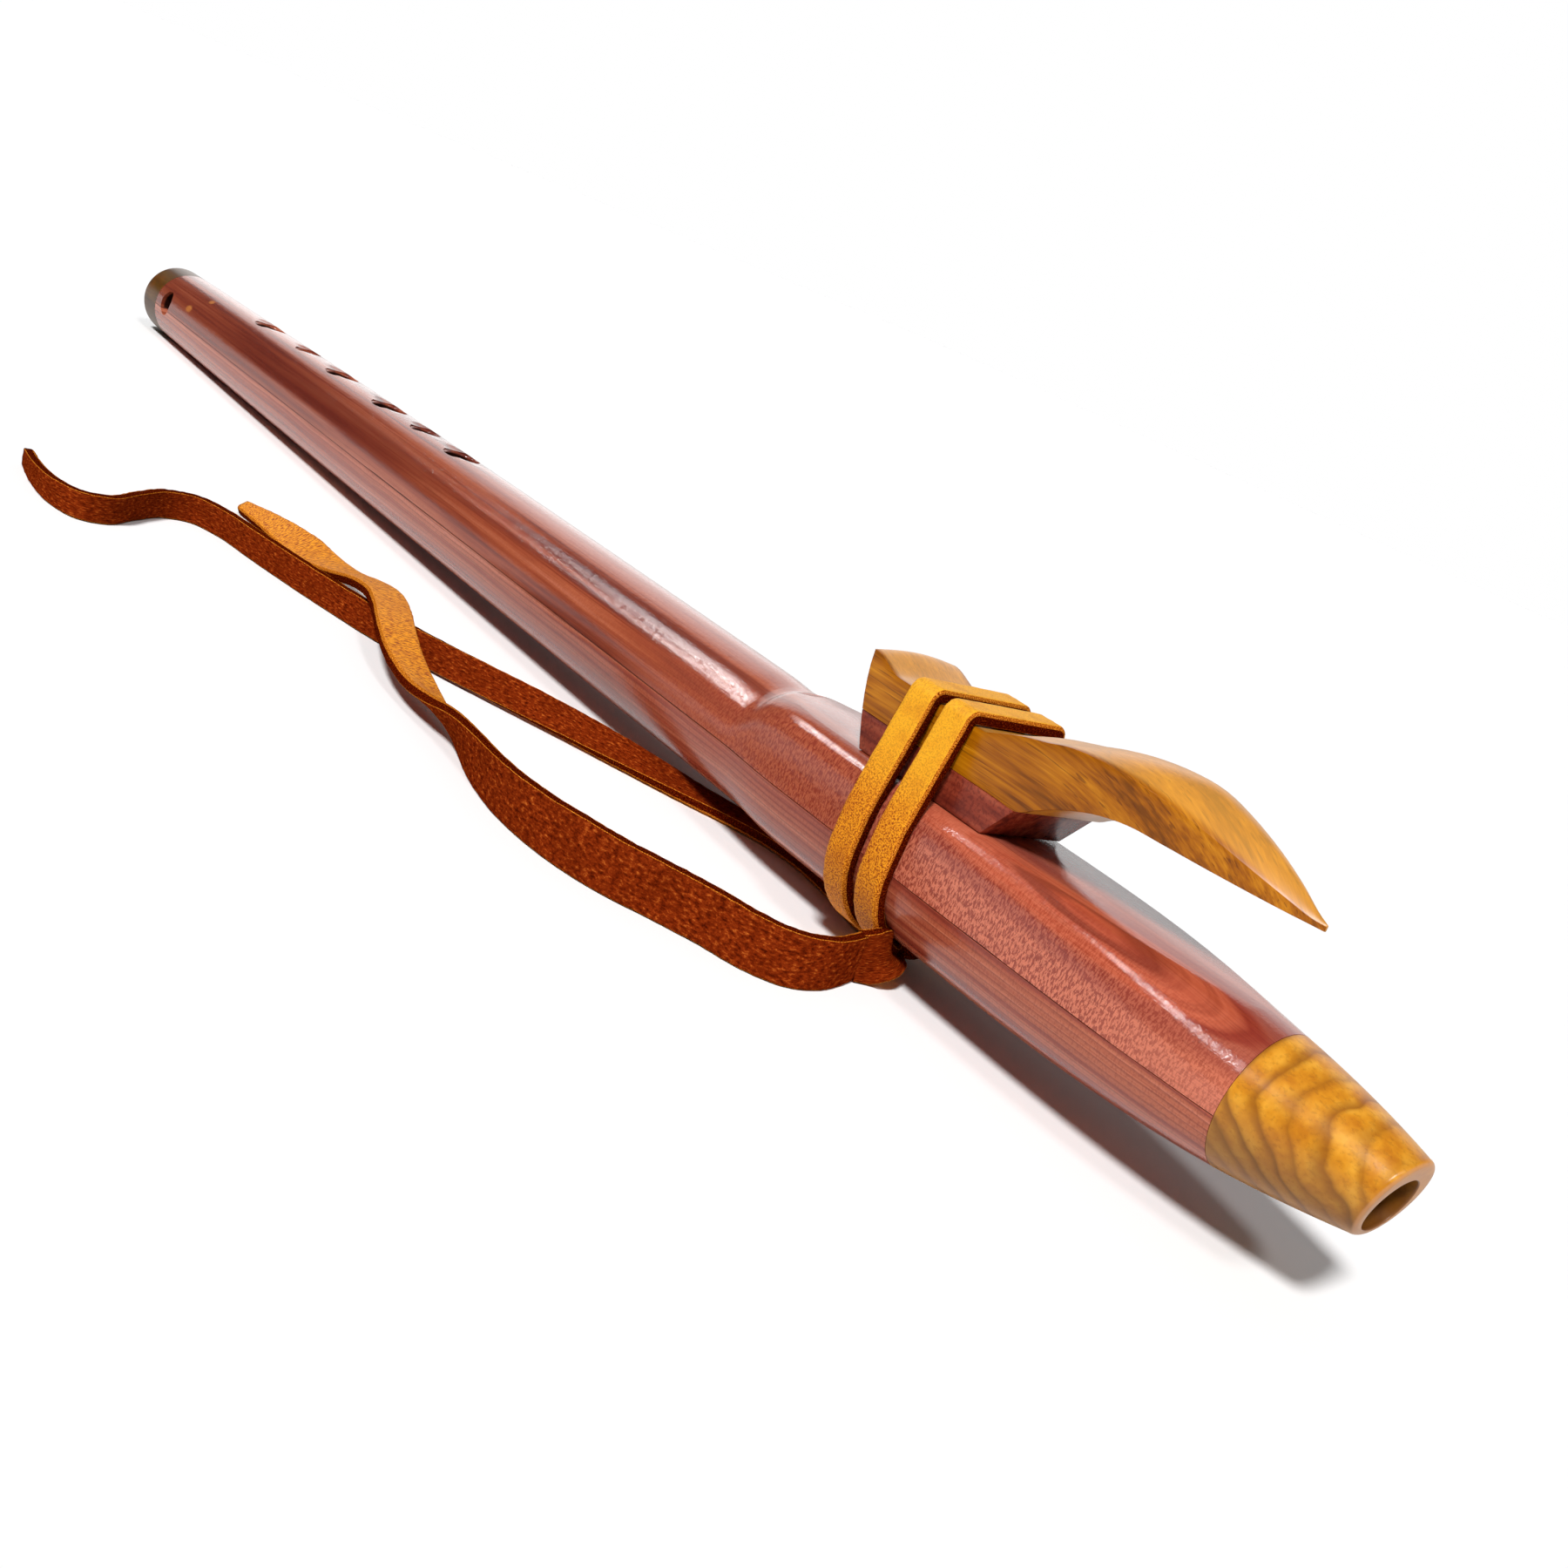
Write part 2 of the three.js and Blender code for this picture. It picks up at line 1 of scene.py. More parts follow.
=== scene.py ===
"""A six hole cedar flute with its block tied on by a leather lace, in its finished woods and
leather. Metres, +Z up. The flute's own axes are station along it from the foot, side and
height; LIE turns them to the way the flute lies on its foot and knot."""
import json
import math

import bmesh
import bpy
from mathutils import Matrix, Vector, noise


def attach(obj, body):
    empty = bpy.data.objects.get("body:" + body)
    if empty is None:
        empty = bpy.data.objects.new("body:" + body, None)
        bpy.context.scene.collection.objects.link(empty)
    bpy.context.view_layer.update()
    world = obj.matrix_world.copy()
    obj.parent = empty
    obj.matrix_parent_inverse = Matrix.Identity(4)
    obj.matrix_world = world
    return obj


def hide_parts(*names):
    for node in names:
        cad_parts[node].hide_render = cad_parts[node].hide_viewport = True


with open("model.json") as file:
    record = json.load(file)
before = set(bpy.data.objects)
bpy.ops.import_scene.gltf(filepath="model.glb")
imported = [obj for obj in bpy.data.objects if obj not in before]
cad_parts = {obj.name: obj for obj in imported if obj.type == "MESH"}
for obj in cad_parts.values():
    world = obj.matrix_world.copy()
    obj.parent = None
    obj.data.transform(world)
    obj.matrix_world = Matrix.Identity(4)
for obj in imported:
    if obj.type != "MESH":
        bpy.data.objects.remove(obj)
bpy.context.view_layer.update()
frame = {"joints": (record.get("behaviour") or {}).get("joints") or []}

MM = 0.001

# Body
FOOT_SEAM = 0.015
SOUND_CHAMBER_END = 0.434
PLUG_FRONT = 0.446
NEST_STATION = 0.44
CAP_SEAM = 0.536
FLUTE_LENGTH = 0.562
FOOT_RADIUS = 0.0126
BARREL_RADIUS = 0.0151
NEST_RADIUS = 0.0163
MOUTH_RADIUS = 0.008
BORE_RADIUS = 0.0095
MOUTH_BORE_RADIUS = 0.0055
SPIGOT_LENGTH = 0.008
FOOT_EDGE_RADIUS = 0.002
MOUTH_EDGE_RADIUS = 0.0012
BORE_EDGE_RADIUS = 0.0005
SEAM_GAP = 0.0001
BARREL_POWER = 2.3
MOUTH_TAPER_POWER = 3
MOUTH_RISE = 0.0012
MOUTH_SLANT = math.radians(12)
ROUND_POWER = 2
SHOULDER_POWER = 5
SHOULDER_HEIGHT_SHARE = 0.95
SHOULDER_START = 0.398
SHOULDER_END = 0.418
GLUE_HEIGHT = -0.0009
GLUE_GAP = 0.00016
GLUE_RECESS = 0.985
BODY_SIDES = 128
BODY_STEPS = 80

# Holes and nest: each finger hole is a station and a radius
FINGER_HOLES = (
    (0.0895, 0.0052), (0.1225, 0.0037), (0.151, 0.0052),
    (0.187, 0.0054), (0.212, 0.0042), (0.236, 0.0051),
)
DISH_DEPTH = 0.0012
DISH_HEIGHT = 0.008
DISH_LENGTH_SHARE = 3.4
DISH_WIDTH_SHARE = 2.1
RIM_DEPTH = 0.0009
RIM_RADIUS = 0.0007
DIRECTION_HOLE_STATION = 0.025
DIRECTION_HOLE_RADIUS = 0.0045
DIRECTION_HOLE_RISE = 0.0015
NEST_HEIGHT = 0.0148
NEST_START = 0.404
NEST_STEP_RUN = 0.004
SOUND_HOLE_LENGTH = 0.006
SOUND_HOLE_WIDTH = 0.012
SOUND_HOLE_UNDERCUT = 0.006
FLUE_WIDTH = 0.01
FLUE_DEPTH = 0.001
EXIT_HOLE_LENGTH = 0.006
OVERRUN = 0.004

# Block
BLOCK_WIDTH = 0.0244
BLOCK_REAR = 0.4337
BLOCK_FLOOR = 0.01495
BLOCK_FRONT = 0.4697
BLOCK_FRONT_LEAN = 0.0051
LAMINATE_HEIGHT = 0.0222
LAMINATE_GAP = 0.00004
REAR_LEAN = 0.0064
REAR_POWER = 1.6
REAR_CREST_HEIGHT = 0.034
REAR_CROWN = 0.001
SADDLE_HEIGHT = 0.0316
SADDLE_REAR = 0.4365
SADDLE_FRONT = 0.461
HORN_TIP = 0.532
HORN_CREST_HEIGHT = 0.0426
HORN_SOLE_HEIGHT = 0.031
BLOCK_EDGE_RADIUS = 0.00035

# Lace
LACE_THICKNESS = 0.0026
WRAP_WIDTH = 0.007
WRAP_GAP = 0.0004
FRONT_WRAP_STATION = 0.4553
REAR_WRAP_STATION = 0.4455
TAIL_LIFT = 0.00005
OUTER_TAIL_WIDTH = 0.0104
INNER_TAIL_WIDTH = 0.0074
GRAIN_CORNER = 0.0008
FLESH_CORNER = 0.0003

AXIS = Vector(frame["joints"][0]["axis"])
LEAN = math.atan2(AXIS.z, AXIS.x)
FOOT_CENTRE = Vector((-0.2815825, 0, 0.0125777))
AXIS_MIDDLE = Vector((-0.00066, 0, 0))
LIE = Matrix.Translation(FOOT_CENTRE) @ Matrix.Rotation(-LEAN, 4, "Y")


def smooth(share):
    s = min(1, max(0, share))
    return s * s * (3 - 2 * s)


def mix(low, high, share):
    return low + (high - low) * share


def angles_round(sides):
    return [2 * math.pi * j / sides for j in range(sides)]


def quarter_turn(steps):
    """Sines and cosines from 0 to 90 degrees."""
    turns = [math.pi / 2 * i / steps for i in range(steps + 1)]
    return [(math.sin(t), math.cos(t)) for t in turns]


def swell(station):
    return smooth((station - SHOULDER_START) / (SHOULDER_END - SHOULDER_START))


def mouth_share(station):
    return min(1, max(0, (station - BLOCK_FRONT) / (FLUTE_LENGTH - BLOCK_FRONT)))


def body_radius(station):
    foot_share = (1 - min(1, station / NEST_START)) ** BARREL_POWER
    barrel = mix(BARREL_RADIUS, FOOT_RADIUS, foot_share)
    fall = (NEST_RADIUS - MOUTH_RADIUS) * mouth_share(station) ** MOUTH_TAPER_POWER
    return mix(barrel, NEST_RADIUS, swell(station)) - fall


def body_rise(station):
    """How far the outside lies above the bores' axis."""
    return MOUTH_RISE * smooth(mouth_share(station))


def body_point(station, angle):
    """The body's skin: round below, squarer above where it carries the block."""
    y, z = math.cos(angle), math.sin(angle)
    fall = smooth((CAP_SEAM - station) / (CAP_SEAM - BLOCK_FRONT))
    share = min(swell(station), fall) if z > 0 else 0
    power = mix(ROUND_POWER, SHOULDER_POWER, share)
    height = mix(1, SHOULDER_HEIGHT_SHARE, share)
    reach = body_radius(station) * (abs(y) ** power + abs(z / height) ** power) ** (-1 / power)
    return Vector((station, y * reach, z * reach + body_rise(station)))


# Camera
CAMERA_PLACE = Vector((0.6473, -0.2445, 0.0914))
CAMERA_AZIMUTH = math.radians(44.61)
CAMERA_ELEVATION = math.radians(15.79)
CAMERA_ROLL = math.radians(22.48)
CAMERA_LENS = 37.34
CAMERA_CLIP_START = 0.01


def make_camera():
    turn = Matrix.Rotation(CAMERA_AZIMUTH, 4, "Z")
    turn @= Matrix.Rotation(math.pi / 2 - CAMERA_ELEVATION, 4, "X")
    turn @= Matrix.Rotation(CAMERA_ROLL, 4, "Z")
    data = bpy.data.cameras.new("camera")
    data.lens = CAMERA_LENS
    data.clip_start = CAMERA_CLIP_START
    camera = bpy.data.objects.new("camera", data)
    bpy.context.scene.collection.objects.link(camera)
    camera.matrix_world = LIE @ Matrix.Translation(CAMERA_PLACE) @ turn
    bpy.context.scene.camera = camera


# Steps of modelling that the pieces share
def choose(piece=None):
    if bpy.context.object and bpy.context.object.mode != "OBJECT":
        bpy.ops.object.mode_set(mode="OBJECT")
    bpy.ops.object.select_all(action="DESELECT")
    if piece:
        piece.select_set(True)
        bpy.context.view_layer.objects.active = piece


def edit(piece):
    choose(piece)
    bpy.ops.object.mode_set(mode="EDIT")
    bpy.ops.mesh.select_all(action="SELECT")


def extruded(name, rings, closed=False):
    """A ring of points extruded through all the others. It is capped at both ends, or comes
    back to its first ring and has no caps."""
    choose()
    fill = "NOTHING" if closed else "NGON"
    bpy.ops.mesh.primitive_circle_add(vertices=len(rings[0]), fill_type=fill)
    piece = bpy.context.object
    piece.name = piece.data.name = name
    edit(piece)
    shape = bmesh.from_edit_mesh(piece.data)
    placed = {}
    for i, vertex in enumerate(shape.verts):
        vertex.co = rings[0][i]
        placed[tuple(vertex.co)] = i
    for ring in rings[1:] + (rings[:1] if closed else []):
        bpy.ops.mesh.extrude_region_move(TRANSFORM_OT_translate={"value": (0, 0, 0)})
        shape = bmesh.from_edit_mesh(piece.data)
        moved = {}
        for vertex in [v for v in shape.verts if v.select]:
            i = placed[tuple(vertex.co)]
            vertex.co = ring[i]
            moved[tuple(vertex.co)] = i
        placed = moved
    bmesh.update_edit_mesh(piece.data)
    bpy.ops.mesh.select_all(action="SELECT")
    bpy.ops.mesh.remove_doubles(threshold=0.002 * MM)
    bpy.ops.mesh.normals_make_consistent(inside=False)
    choose(piece)
    return piece


def turned(name, profile):
    """A closed profile of stations, radii and rises off the axis, turned round it."""
    rings = [
        [Vector((station, radius * math.cos(a), radius * math.sin(a) + rise))
         for a in angles_round(BODY_SIDES)] for station, radius, rise in profile
    ]
    return extruded(name, rings, closed=True)


def modified(piece, kind, **settings):
    modifier = piece.modifiers.new(kind, kind)
    for setting, value in settings.items():
        setattr(modifier, setting, value)
    choose(piece)
    bpy.ops.object.modifier_apply(modifier=modifier.name)


def cut(piece, cutter):
    modified(piece, "BOOLEAN", operation="DIFFERENCE", solver="EXACT", object=cutter)
    bpy.data.objects.remove(cutter, do_unlink=True)


def round_edges(piece, width, angle=40):
    modified(piece, "BEVEL", width=width, segments=2, limit_method="ANGLE",
             angle_limit=math.radians(angle))


def joined(pieces):
    choose(pieces[0])
    for piece in pieces:
        piece.select_set(True)
    bpy.ops.object.join()
    return bpy.context.object


def apply_place(piece):
    choose(piece)
    bpy.ops.object.transform_apply(location=True, rotation=True, scale=True)
    return piece


def primitive(add, **settings):
    """A plain shape, made by one of the modeller's own steps."""
    choose()
    add(**settings)
    return apply_place(bpy.context.object)


def finished(piece, material, body, node=None, angle=35):
    """Lays a piece down with the flute, smooths it, and gives it its finish and its body."""
    piece.matrix_world = LIE
    apply_place(piece)
    bpy.ops.object.shade_smooth_by_angle(angle=math.radians(angle))
    return registered(piece, [material], body, node)


def registered(piece, materials, body, node=None):
    for material in materials:
        piece.data.materials.append(material)
    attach(piece, body)
    if node:
        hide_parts(node)
    return piece


def side_profile(name, outline, width):
    """A side view outline of stations and heights, given a width across the flute."""
    rings = [[Vector((s, y, z)) for s, z in outline] for y in (-width / 2, width / 2)]
    return extruded(name, rings)


def box_between(low, high):
    choose()
    bpy.ops.mesh.primitive_cube_add(size=1, location=(low + high) / 2)
    piece = bpy.context.object
    piece.scale = high - low
    return apply_place(piece)


# Body of two cedar halves
def rod_between(start, end, radius):
    return primitive(bpy.ops.mesh.primitive_cylinder_add, vertices=BODY_SIDES // 2, radius=radius,
                     depth=end - start, location=((start + end) / 2, 0, 0),
                     rotation=(0, math.pi / 2, 0))


def finger_hole_cutter(station, radius):
    """A drill with a rounded shoulder, so that the hole's rim is eased."""
    rim = body_radius(station) - RIM_DEPTH
    heights = [(0, radius), (rim - RIM_RADIUS, radius)]
    heights += [(rim - RIM_RADIUS * (1 - s), radius + RIM_RADIUS * (1 - c))
                for s, c in quarter_turn(5)[1:]]
    heights.append((rim + OVERRUN, radius + RIM_RADIUS))
    return extruded("drill", [
        [Vector((station + wide * math.cos(a), wide * math.sin(a), height))
         for a in angles_round(BODY_SIDES // 2)] for height, wide in heights
    ])


def dish_cutter(station, radius):
    height = body_radius(station) + DISH_HEIGHT - DISH_DEPTH
    return primitive(bpy.ops.mesh.primitive_uv_sphere_add, segments=64, ring_count=48, radius=1,
                     location=(station, 0, height),
                     scale=(DISH_LENGTH_SHARE * radius, DISH_WIDTH_SHARE * radius, DISH_HEIGHT))


def direction_hole_cutter():
    return primitive(bpy.ops.mesh.primitive_cylinder_add, vertices=BODY_SIDES // 2,
                     radius=DIRECTION_HOLE_RADIUS, depth=2 * (FOOT_RADIUS + OVERRUN),
                     location=(DIRECTION_HOLE_STATION, 0, DIRECTION_HOLE_RISE),
                     rotation=(math.pi / 2, 0, 0))


def nest_cutter():
    top = NEST_RADIUS + OVERRUN
    steps = 16
    outline = [
        (NEST_START - NEST_STEP_RUN * i / steps, mix(NEST_HEIGHT, top, (i / steps) ** 2))
        for i in range(steps + 1)
    ]
    outline += [(CAP_SEAM + OVERRUN, top), (CAP_SEAM + OVERRUN, NEST_HEIGHT)]
    return side_profile("nest", outline, 2 * top)


def sound_hole_cutter():
    roof = NEST_HEIGHT + OVERRUN
    flue_floor = NEST_HEIGHT - FLUE_DEPTH
    end = BLOCK_REAR - SOUND_HOLE_LENGTH
    return side_profile("sound_hole", [
        (BLOCK_REAR, 0), (BLOCK_REAR, roof), (end, roof), (end, flue_floor),
        (end - SOUND_HOLE_UNDERCUT, 0),
    ], SOUND_HOLE_WIDTH)


# Crease across the top where the barrel meets the nest
CREASE_START = 0.386
CREASE_DEEPEST = 0.4025
CREASE_END = 0.4041
CREASE_DEPTH = 0.00055
CREASE_STATIONS = (0.386, 0.39, 0.394, 0.397, 0.3995, 0.4013, 0.4025, 0.4032, 0.4041, 0.4052)


def creased(station, point):
    slide = smooth((station - CREASE_START) / (CREASE_DEEPEST - CREASE_START)) ** 2
    rise = min(1, max(0, (CREASE_END - station) / (CREASE_END - CREASE_DEEPEST)))
    upward = smooth((point.z / Vector(point.yz).length - 0.45) / 0.35)
    share = 1 - CREASE_DEPTH * slide * rise * upward / Vector(point.yz).length
    return Vector((point.x, point.y * share, point.z * share))


def body_halves(upper_finish, lower_finish, glue_finish):
    rings = []
    stations = [mix(FOOT_SEAM, CAP_SEAM, i / BODY_STEPS) for i in range(BODY_STEPS + 1)]
    for station in sorted(stations + list(CREASE_STATIONS)):
        rings.append([creased(station, body_point(station, a)) for a in angles_round(BODY_SIDES)])
    body = extruded("body_upper_half_wood", rings)
    cut(body, joined([
        rod_between(FOOT_SEAM - OVERRUN, SOUND_CHAMBER_END, BORE_RADIUS),
        rod_between(PLUG_FRONT, CAP_SEAM + OVERRUN, BORE_RADIUS),
    ]))
    cut(body, nest_cutter())
    cut(body, sound_hole_cutter())
    high = Vector((PLUG_FRONT + EXIT_HOLE_LENGTH, FLUE_WIDTH / 2, NEST_HEIGHT + OVERRUN))
    for start, floor in ((PLUG_FRONT, 0), (BLOCK_REAR - SEAM_GAP, NEST_HEIGHT - FLUE_DEPTH)):
        cut(body, box_between(Vector((start, -FLUE_WIDTH / 2, floor)), high))
    for first in (0, 1):
        cut(body, joined([dish_cutter(*hole) for hole in FINGER_HOLES[first::2]]))
    cut(body, joined([finger_hole_cutter(*hole) for hole in FINGER_HOLES]
                     + [direction_hole_cutter()]))

    def kept_between(piece, low, high):
        for height, side in ((low, "clear_inner"), (high, "clear_outer")):
            if height is None:
                continue
            edit(piece)
            bpy.ops.mesh.bisect(plane_co=(0, 0, height), plane_no=(0, 0, 1), use_fill=True,
                                **{side: True})
        choose(piece)

    def copy_of(piece, name):
        choose(piece)
        bpy.ops.object.duplicate()
        bpy.context.object.name = bpy.context.object.data.name = name
        return bpy.context.object

    lower = copy_of(body, "body_lower_half_wood")
    glue = copy_of(body, "glue_line")
    kept_between(body, GLUE_HEIGHT + GLUE_GAP / 2, None)
    kept_between(lower, None, GLUE_HEIGHT - GLUE_GAP / 2)
    kept_between(glue, GLUE_HEIGHT - GLUE_GAP / 3, GLUE_HEIGHT + GLUE_GAP / 3)
    edit(glue)
    bpy.ops.transform.resize(value=(1, GLUE_RECESS, 1), center_override=(0, 0, 0))
    finished(body, upper_finish, "flute", "body_upper_half")
    finished(lower, lower_finish, "flute", "body_lower_half")
    finished(glue, glue_finish, "flute")


def rounded_edge(end, radius, edge, inward):
    """Stations and radii round a turned edge, from the outside in to the end face."""
    return [(end + inward * edge * (1 - s), radius - edge * (1 - c)) for s, c in quarter_turn(8)]


def bore_edge(end, radius, edge, inward):
    """Stations and radii round a bore's eased edge, from the end face into the bore."""
    return [(end + inward * edge * (1 - c), radius + edge * (1 - s)) for s, c in quarter_turn(4)]


def foot_ring(finish):
    seam = FOOT_SEAM - SEAM_GAP
    steps = 4
    flank = [mix(seam, FOOT_EDGE_RADIUS, i / steps) for i in range(steps)]
    profile = [(seam, BORE_RADIUS)] + [(s, body_radius(s)) for s in flank]
    profile += rounded_edge(0, body_radius(FOOT_EDGE_RADIUS), FOOT_EDGE_RADIUS, 1)
    profile += bore_edge(0, BORE_RADIUS, BORE_EDGE_RADIUS, 1)
    ring = turned("foot_ring_wood", [(s, r, 0) for s, r in profile])
    finished(ring, finish, "flute", "foot_ring")


def mouthpiece(finish):
    """Turned, with its end then cut on a slant that leaves the top longer."""
    seam = CAP_SEAM + SEAM_GAP
    spigot_end = seam - SPIGOT_LENGTH
    spigot_radius = BORE_RADIUS - SEAM_GAP
    edge_start = FLUTE_LENGTH - MOUTH_EDGE_RADIUS
    steps = 16
    flank = [mix(seam, edge_start, i / steps) for i in range(steps)]
    outside = [(s, body_radius(s)) for s in flank]
    outside += rounded_edge(FLUTE_LENGTH, body_radius(edge_start), MOUTH_EDGE_RADIUS, -1)
    profile = [(spigot_end, MOUTH_BORE_RADIUS, 0), (spigot_end, spigot_radius, 0), (seam, spigot_radius, 0)]
    profile += [(s, r, body_rise(s)) for s, r in outside]
    bore = bore_edge(FLUTE_LENGTH, MOUTH_BORE_RADIUS, BORE_EDGE_RADIUS / 2, -1)
    profile += [(s, r, 0) for s, r in bore]
    piece = turned("mouthpiece_wood", profile)
    for vertex in piece.data.vertices:
        share = max(0, (vertex.co.x - CAP_SEAM) / (FLUTE_LENGTH - CAP_SEAM))
        vertex.co.x += vertex.co.z * share * math.tan(MOUTH_SLANT)
    finished(piece, finish, "flute", "mouthpiece")


# Block of two layers
def rear_face(height):
    share = min(1, (height - BLOCK_FLOOR) / (REAR_CREST_HEIGHT - BLOCK_FLOOR))
    return BLOCK_REAR - REAR_LEAN * (1 - (1 - share) ** REAR_POWER)


def block_base(finish):
    half = BLOCK_WIDTH / 2
    steps = 8
    rings = []
    for i in range(steps + 1):
        share = i / steps
        height = mix(BLOCK_FLOOR, LAMINATE_HEIGHT, share)
        front = BLOCK_FRONT + BLOCK_FRONT_LEAN * share
        rear = rear_face(height)
        rings.append([Vector((s, y, height)) for s, y in
                      ((rear, -half), (front, -half), (front, half), (rear, half))])
    piece = extruded("block_base_wood", rings)
    round_edges(piece, BLOCK_EDGE_RADIUS / 2)
    finished(piece, finish, "block", "block_base")


# Rings along the horn, from the front of the saddle to the tip: how far along, how much of the
# crest's rise the middle and the side edges have, how much of the width, and how much of the
# sole's rise the underside
HORN_SHARES = (
    (0, 0, 0, 1, 0), (0.07, 0.21, 0.18, 1, 0), (0.13, 0.4, 0.31, 1, 0), (0.2, 0.54, 0.42, 1, 0),
    (0.25, 0.63, 0.52, 1, 0.24), (0.31, 0.76, 0.59, 0.98, 0.51), (0.4, 0.9, 0.62, 0.93, 0.81),
    (0.5, 0.99, 0.6, 0.85, 0.98), (0.6, 1, 0.53, 0.75, 1), (0.7, 0.86, 0.42, 0.62, 1),
    (0.8, 0.65, 0.28, 0.46, 1), (0.89, 0.4, 0.15, 0.29, 1), (0.96, 0.16, 0.04, 0.12, 1),
    (1, 0.05, 0.02, 0.02, 1),
)


def block_ring(station_at, half, sole, edge, crown):
    """One ring of the top layer: up one side, over the crown, down the other."""
    rises = 4
    steps = 16
    side = [mix(sole, edge, i / rises) for i in range(rises)]
    top = [(mix(half, -half, i / steps), mix(edge, crown, math.sin(math.pi * i / steps)))
           for i in range(steps + 1)]
    ring = [(half, z) for z in side] + top + [(-half, z) for z in reversed(side)]
    return [Vector((station_at(z), y, z)) for y, z in ring]


def block_top(finish):
    sole = LAMINATE_HEIGHT + LAMINATE_GAP
    half = BLOCK_WIDTH / 2
    steps = 12
    rings = []
    for i in range(steps + 1):
        share = i / steps
        edge = mix(REAR_CREST_HEIGHT, SADDLE_HEIGHT, smooth(share))
        rings.append(block_ring(lambda z: mix(rear_face(z), SADDLE_REAR, share), half, sole,
                                edge, edge + REAR_CROWN * (1 - share)))
    for middle, side, wide, under, along in horn_shares(steps=4):
        station = mix(SADDLE_FRONT, HORN_TIP, along)
        rings.append(block_ring(lambda z: station, half * wide,
                                mix(sole, HORN_SOLE_HEIGHT, under),
                                mix(SADDLE_HEIGHT, HORN_CREST_HEIGHT, side),
                                mix(SADDLE_HEIGHT, HORN_CREST_HEIGHT, middle)))
    piece = extruded("block_top_wood", rings)
    round_edges(piece, BLOCK_EDGE_RADIUS, angle=30)
    finished(piece, finish, "block", "block_top", angle=30)


def horn_shares(steps):
    """The horn's rings with smooth ones between them, the distance along moved to the end."""
    rows = [Vector((m, e, w, u, a)) for a, m, e, w, u in HORN_SHARES]
    return [row for row, _ in curve_through(rows, steps)]


# Curves and straps
def ways_along(places):
    last = len(places) - 1
    return [places[min(i + 1, last)] - places[max(i - 1, 0)] for i in range(last + 1)]


def curve_through(points, steps, evenness=0.0):
    """Catmull-Rom samples through points, each with its place in the list. Evenness 0 spaces
    the spans alike and 0.5 by the root of their lengths."""
    ends = [2 * points[0] - points[1]] + list(points) + [2 * points[-1] - points[-2]]
    samples = []
    for k in range(len(points) - 1):
        a, b, c, d = ends[k:k + 4]
        u, v, w = [(q - p).length ** evenness for p, q in ((a, b), (b, c), (c, d))]
        start = ((b - a) / u - (c - a) / (u + v) + (c - b) / v) * v
        end = ((c - b) / v - (d - b) / (v + w) + (d - c) / w) * v
        for i in range(steps + (k == len(points) - 2)):
            t = i / steps
            place = (b * (1 + 2 * t) + start * t) * (1 - t) ** 2
            place += (c * (3 - 2 * t) + end * (t - 1)) * t ** 2
            samples.append((place, k + t))
    return samples


def strap_section(width, thickness):
    """Points round a strap, each with the side that follows it. Frayed rims lie between the cut
    edges and both sides."""
    w, t = width / 2, thickness / 2
    flat_steps, turn_steps = 8, 3
    points = []

    def corner(y, z, radius, start, sides):
        for i, side in enumerate(sides):
            turn = math.radians(start + 90 * i / turn_steps)
            points.append((y + radius * math.cos(turn), z + radius * math.sin(turn), side))

    def flat(y0, y1, z, side):
        points[-1] = points[-1][:2] + (side,)
        points.extend((mix(y0, y1, i / flat_steps), z, side) for i in range(1, flat_steps))

    g, f = GRAIN_CORNER, FLESH_CORNER
    g, f = min(g, w / 2), min(f, w / 2)
    corner(-w + f, -t + f, f, 180, (EDGE_SIDE, RIM_SIDE, FLESH_SIDE, FLESH_SIDE))
    flat(-w + f, w - f, -t, FLESH_SIDE)
    corner(w - f, -t + f, f, 270, (FLESH_SIDE, RIM_SIDE, EDGE_SIDE, EDGE_SIDE))
    corner(w - g, t - g, g, 0, (RIM_SIDE, RIM_SIDE, GRAIN_SIDE, GRAIN_SIDE))
    flat(w - g, -w + g, t, GRAIN_SIDE)
    corner(-w + g, t - g, g, 90, (GRAIN_SIDE, RIM_SIDE, RIM_SIDE, EDGE_SIDE))
    return points


GRAIN_SIDE, FLESH_SIDE, EDGE_SIDE, RIM_SIDE = range(4)
LACE_ROUGHNESS = 0.00009
LACE_FUZZ = 0.00012


